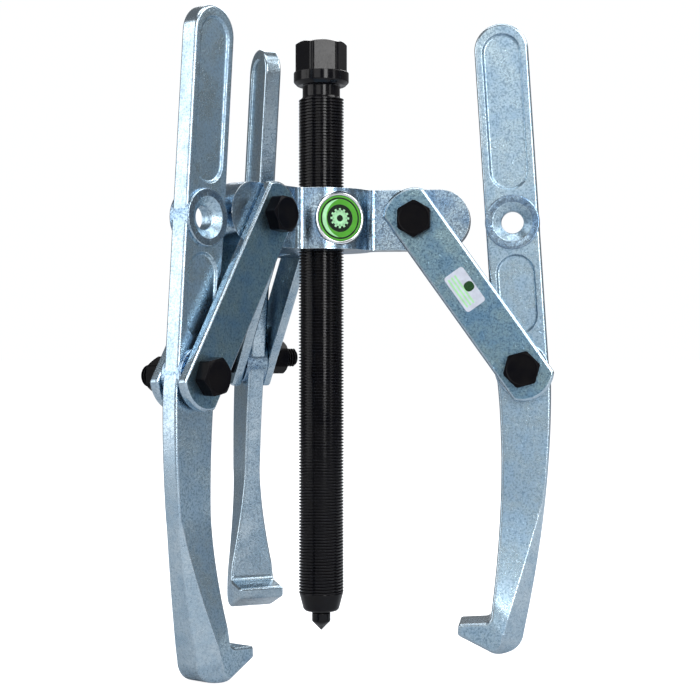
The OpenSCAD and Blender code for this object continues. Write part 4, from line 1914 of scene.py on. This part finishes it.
@dataclass
class LinkPair:
    """Two flat links, which straddle the lug and the jaw, with the label on the right one.

    The label's shares are of its half length, its half width or its thickness.
    """

    palette: Palette
    width: float = 28.4
    thickness: float = 6.0
    end_radius: float = 18.5
    hole_radius: float = 6.2
    inner_face: float = 7.1
    label_length: float = 24.0
    label_width: float = 13.0
    label_thickness: float = 0.3
    label_place: float = 0.47
    label_rounding: float = 2.0
    film_share: float = 0.8
    print_foot: float = 0.7
    stripe_share: float = 0.95
    dot_share: float = 0.97
    stripes_left: float = 0.82
    stripes_right: float = 0.78
    stripes_low: float = 0.78
    stripes: int = 3
    stripe_width: float = 1.1
    stripe_pitch: float = 2.2
    stripe_rounding: float = 0.3
    dot_radius: float = 2.9
    dot_rise: float = 3.1
    shoulder_rounding: float = 1.4
    edge_bevel: float = 1.1
    edge_rounding: float = 0.5
    tip_steps: int = 12
    hole_steps: int = 32

    def mesh(self, length: float) -> bpy.types.Mesh:
        """One link in its own frame, centred on the arm's plane.

        Args:
            length: Distance between its pivots.

        Returns:
            Closed mesh along +X.
        """
        half = self.width / 2
        meet = math.degrees(math.asin(half / self.end_radius))
        tip = arc((0, 0), self.end_radius, 0, meet, self.tip_steps)
        shoulder = corner(tip[-2], tip[-1], (-length / 2, half), self.shoulder_rounding)
        quarter = [*tip[:-1], *shoulder]
        start = quarter[-1][0]
        run = [(length / 2 + (length / 2 + start) * s, half) for s in (0.5, 0.0, -0.5)]
        right_end = [(length + x, y) for x, y in quarter]
        upper = [*right_end, *run, *[(-x, y) for x, y in reversed(quarter)]]
        lower = [(x, -y) for x, y in upper]
        section = Section(self.thickness / 2, bevel=self.edge_bevel, rounding=self.edge_rounding)
        blank = with_surfaces(forged_plate("link", lower, upper, [(section, section)] * len(upper)))
        hole = mirrored([(0, self.thickness), (self.hole_radius, self.thickness)])
        turn = Matrix.Rotation(math.pi / 2, 4, "X")
        holes = [
            moved(lathe("hole", hole, self.hole_steps), Matrix.Translation((x, 0, 0)) @ turn)
            for x in (0, length)
        ]
        return carved(blank, cut=joined("link_holes", holes))

    def label(self, arm_frame: ArmFrame) -> None:
        """Film label with pale stripes and a dot.

        Args:
            arm_frame: Frame of the arm whose link carries it.
        """
        side = arm_frame.arm.head_side
        face = side * (self.inner_face + self.thickness)
        turn = Matrix.Rotation(math.pi / 2 if side < 0 else -math.pi / 2, 4, "X")
        spot = Matrix.Translation((arm_frame.link_length * self.label_place, face, 0)) @ turn
        long, wide, thick = self.label_length / 2, self.label_width / 2, self.label_thickness
        film, foot = thick * self.film_share, thick * self.print_foot
        patches = [
            LabelPatch("label_film", -long, -wide, long, wide, self.label_rounding, 0.0, film,
                       self.palette.film, ["link_label"])
        ]
        left, right = -long * self.stripes_left, long * self.stripes_right
        for k in range(self.stripes):
            low = -wide * self.stripes_low + k * self.stripe_pitch
            patches.append(
                LabelPatch(f"label_stripe_{k + 1}", left, low, right, low + self.stripe_width,
                           self.stripe_rounding, foot, thick * self.stripe_share, self.palette.film_green)
            )
        dot, rise = self.dot_radius, self.dot_rise
        patches.append(
            LabelPatch("label_dot", -dot, rise - dot, dot, rise + dot, dot, foot, thick * self.dot_share,
                       self.palette.dark_green)
        )
        for patch in patches:
            finished_object(
                patch.name, patch.mesh(), arm_frame.link_matrix @ spot, f"{arm_frame.arm.label}_links",
                [patch.material], patch.stands_for,
            )

    def build(self) -> None:
        """Makes the six links from one mesh, and the label."""
        mesh = self.mesh(ArmFrame(Arm.RIGHT).link_length)
        for arm in Arm:
            arm_frame = ArmFrame(arm)
            for end, side in (("head", arm.head_side), ("nut", -arm.head_side)):
                shift = Matrix.Translation((0, side * (self.inner_face + self.thickness / 2), 0))
                finished_object(
                    f"link_{arm.label}_{end}_bar", mesh.copy(), arm_frame.link_matrix @ shift,
                    f"{arm.label}_links", self.palette.link_zinc, [f"link_{arm.label}_{end}"],
                )
        self.label(ArmFrame(Arm.RIGHT))


@dataclass
class PivotHardware:
    """Hexagon bolts and nuts that hold each arm's links to the lug and the jaw."""

    palette: Palette
    threads: ThreadTree
    diameter: float = 12.0
    length: float = 45.0
    flats: float = 19.0
    head_height: float = 7.5
    nut_height: float = 10.8
    link_face: float = 13.1
    pitch: float = 1.75
    thread_depth: float = 1.07
    thread_length: float = 19.0
    thread_lead: float = 1.2
    thread_steps: int = 32
    tip_chamfer: float = 0.6
    thread_chamfer: float = 0.8
    head_dish: float = 0.4
    head_overlap: float = 0.3
    nut_play: float = 0.03
    nut_lip: float = 0.9
    round_steps: int = 48
    turns: dict[str, tuple[float, float]] = field(default_factory=lambda: {"lug": (0, 0), "jaw": (15, 30)})
    right_lug_turn: float = 30.0

    def bolt(self) -> bpy.types.Mesh:
        """One bolt, with the underside of its head at the origin and its head up +Z."""
        radius, root = self.diameter / 2, self.diameter / 2 - self.thread_depth
        head = hexagon("bolt_head", self.flats, self.head_height, both_ends=False, dish=self.head_dish)
        end, plain = -self.length, self.thread_length - self.length
        shank = [
            (0, end), (root - self.tip_chamfer, end), (root, end + self.tip_chamfer), (root, plain),
            (radius, plain + self.thread_chamfer), (radius, self.head_overlap), (0, self.head_overlap),
        ]
        wound = self.threads.mesh(
            self.palette.bolt_oxide, Start=end + self.thread_lead,
            Length=self.thread_length - self.thread_lead, Pitch=self.pitch, Crest_Radius=radius,
            Depth=self.thread_depth, Steps_Per_Turn=self.thread_steps,
        )
        wound.materials.clear()
        return joined("bolt", [head, lathe("shank", shank, self.round_steps), wound])

    def nut(self) -> bpy.types.Mesh:
        """One nut that stands on the origin."""
        body = hexagon("nut_body", self.flats, self.nut_height, both_ends=True)
        bore, lip, top = self.diameter / 2 + self.nut_play, self.nut_lip, self.nut_height
        wide = bore + lip + 1
        cut = [(0, -1), (wide, -1), (bore, lip), (bore, top - lip), (wide, top + 1), (0, top + 1)]
        return carved(body, cut=lathe("nut_bore", cut, self.round_steps))

    def build(self) -> None:
        """Makes six bolts and six nuts."""
        bolt, nut = self.bolt(), self.nut()
        for arm in Arm:
            arm_frame = ArmFrame(arm)
            fall = (arm_frame.lug_pivot.z - arm_frame.jaw_pivot.z) / MM
            drop = math.degrees(math.asin(fall / arm_frame.link_length))
            for place, x in (("lug", 0.0), ("jaw", arm_frame.link_length)):
                on_corner = self.right_lug_turn if (place, arm) == ("lug", Arm.RIGHT) else 0.0
                pieces = (
                    ("bolt", bolt, arm.head_side, drop + self.turns[place][0] + on_corner),
                    ("nut", nut, -arm.head_side, drop + self.turns[place][1]),
                )
                for kind, mesh, side, turn in pieces:
                    seat = Matrix.Translation((x, side * self.link_face, 0))
                    spin = Matrix.Rotation(math.radians(turn), 4, "Z")
                    lie = Matrix.Rotation(-side * math.pi / 2, 4, "X") @ spin
                    finished_object(
                        f"{place}_{kind}_{arm.label}_black", mesh.copy(), arm_frame.link_matrix @ seat @ lie,
                        f"{arm.label}_links", [self.palette.bolt_oxide],
                        [f"{place}_{kind}_{arm.label}"],
                    )


# ---------------------------------------------------------------- studio


@dataclass(frozen=True)
class Softbox:
    """Rectangular light: turn is its angle right of the camera and rise its angle above level."""

    name: str
    turn: float
    rise: float
    distance: float
    width: float
    height: float
    glow: float
    aim: tuple[float, float, float] = (0.0, 0.0, 0.17)


@dataclass
class Studio:
    """Pale floor, soft lights and the camera."""

    camera_place: tuple[float, float, float] = (0.0169, -0.941, 0.1636)
    lens: float = 82.3
    shift_up: float = 0.0026
    floor_radius: float = 30.0
    floor_gap: float = 0.0005
    floor_glow: float = 0.92
    floor_colour: tuple[float, float, float] = (0.57, 0.59, 0.62)
    floor_steps: int = 96
    air_colour: tuple[float, float, float] = (0.97, 0.985, 1.0)
    air_glow: float = 1.03
    air_strength: float = 0.22
    nearest: float = 0.05
    farthest: float = 40.0
    softboxes: tuple[Softbox, ...] = (
        Softbox("strip_right", 20, 20, 1.9, 0.45, 1.6, 9.0),
        Softbox("front_left", -16, 16, 2.0, 0.9, 0.7, 1.6),
        Softbox("side_left", -76, 14, 1.7, 0.8, 1.6, 2.1),
        Softbox("strip_left", -56, 14, 1.8, 0.25, 1.4, 2.4),
        Softbox("side_right", 56, 14, 1.8, 0.25, 1.4, 2.3),
        Softbox("top", 0, 80, 1.7, 1.4, 1.0, 2.4),
        Softbox("high_right", 82, 42, 1.8, 1.0, 1.0, 4.5),
        Softbox("rim_back", 165, 40, 1.9, 1.6, 0.7, 4.0),
    )

    def floor(self) -> None:
        """Pale floor that stays pale to the eye beyond the reach of the lights."""
        disc = bmesh.new()
        bmesh.ops.create_circle(disc, cap_ends=True, segments=self.floor_steps, radius=self.floor_radius)
        mesh = bpy.data.meshes.new("floor")
        disc.to_mesh(mesh)
        disc.free()
        mesh.transform(Matrix.Translation((0, 0, CAD_BOX[0].z - self.floor_gap)))
        paper = bpy.data.materials.new("floor_paper")
        paper.use_nodes = True
        nodes = NodeTree(paper.node_tree)
        shader = next(n for n in paper.node_tree.nodes if n.type == "BSDF_PRINCIPLED")
        shader.inputs["Base Color"].default_value = (*self.floor_colour, 1)
        shader.inputs["Roughness"].default_value = 0.9
        shader.inputs["Specular IOR Level"].default_value = 0.1
        shader.inputs["Emission Color"].default_value = (1, 1, 1, 1)
        seen = nodes.add("ShaderNodeLightPath").outputs["Is Camera Ray"]
        nodes.feed(shader.inputs["Emission Strength"], nodes.math("MULTIPLY", seen, self.floor_glow))
        mesh.materials.append(paper)
        sheet = bpy.data.objects.new("floor", mesh)
        bpy.context.scene.collection.objects.link(sheet)

    def air(self) -> None:
        """Surrounding light: pale to the eye, dimmer where it lights the puller."""
        world = bpy.data.worlds.new("studio_air")
        world.use_nodes = True
        nodes = NodeTree(world.node_tree)
        background = world.node_tree.nodes["Background"]
        background.inputs["Color"].default_value = (*self.air_colour, 1)
        seen = nodes.add("ShaderNodeLightPath").outputs["Is Camera Ray"]
        strength = nodes.math("MULTIPLY_ADD", seen, self.air_glow - self.air_strength, self.air_strength)
        nodes.feed(background.inputs["Strength"], strength)
        bpy.context.scene.world = world

    def light(self, softbox: Softbox) -> None:
        """Adds a soft rectangular light.

        Args:
            softbox: The light.
        """
        turn, rise = math.radians(softbox.turn), math.radians(softbox.rise)
        away = Vector((math.sin(turn) * math.cos(rise), -math.cos(turn) * math.cos(rise), math.sin(rise)))
        lamp = bpy.data.lights.new(softbox.name, "AREA")
        lamp.shape, lamp.size, lamp.size_y = "RECTANGLE", softbox.width, softbox.height
        lamp.energy = softbox.glow * math.pi * softbox.width * softbox.height
        lit = bpy.data.objects.new(softbox.name, lamp)
        lit.location = Vector(softbox.aim) + away * softbox.distance
        lit.rotation_euler = (-away).to_track_quat("-Z", "Y").to_euler()
        bpy.context.scene.collection.objects.link(lit)

    def build(self) -> None:
        """Sets the floor, the lights, the surrounding light and the camera."""
        self.floor()
        self.air()
        for softbox in self.softboxes:
            self.light(softbox)
        bpy.context.scene.view_settings.view_transform = "Standard"
        lens = bpy.data.cameras.new("camera")
        lens.lens, lens.shift_y = self.lens, self.shift_up
        lens.clip_start, lens.clip_end = self.nearest, self.farthest
        camera = bpy.data.objects.new("camera", lens)
        camera.location = self.camera_place
        camera.rotation_euler = (math.pi / 2, 0, 0)
        bpy.context.scene.collection.objects.link(camera)
        bpy.context.scene.camera = camera


def main() -> None:
    """Builds the puller and the studio round it."""
    logging.basicConfig(level=logging.INFO, format="%(name)s: %(message)s")
    palette = Palette()
    threads, rings = ThreadTree(), RingTree()
    Traverse(palette).build()
    Badge(palette, rings).build()
    Spindle(palette, threads).build()
    PressurePoint(palette).build()
    Jaw(palette).build()
    LinkPair(palette).build()
    PivotHardware(palette, threads).build()
    Studio().build()


if __name__ == "__main__":
    main()
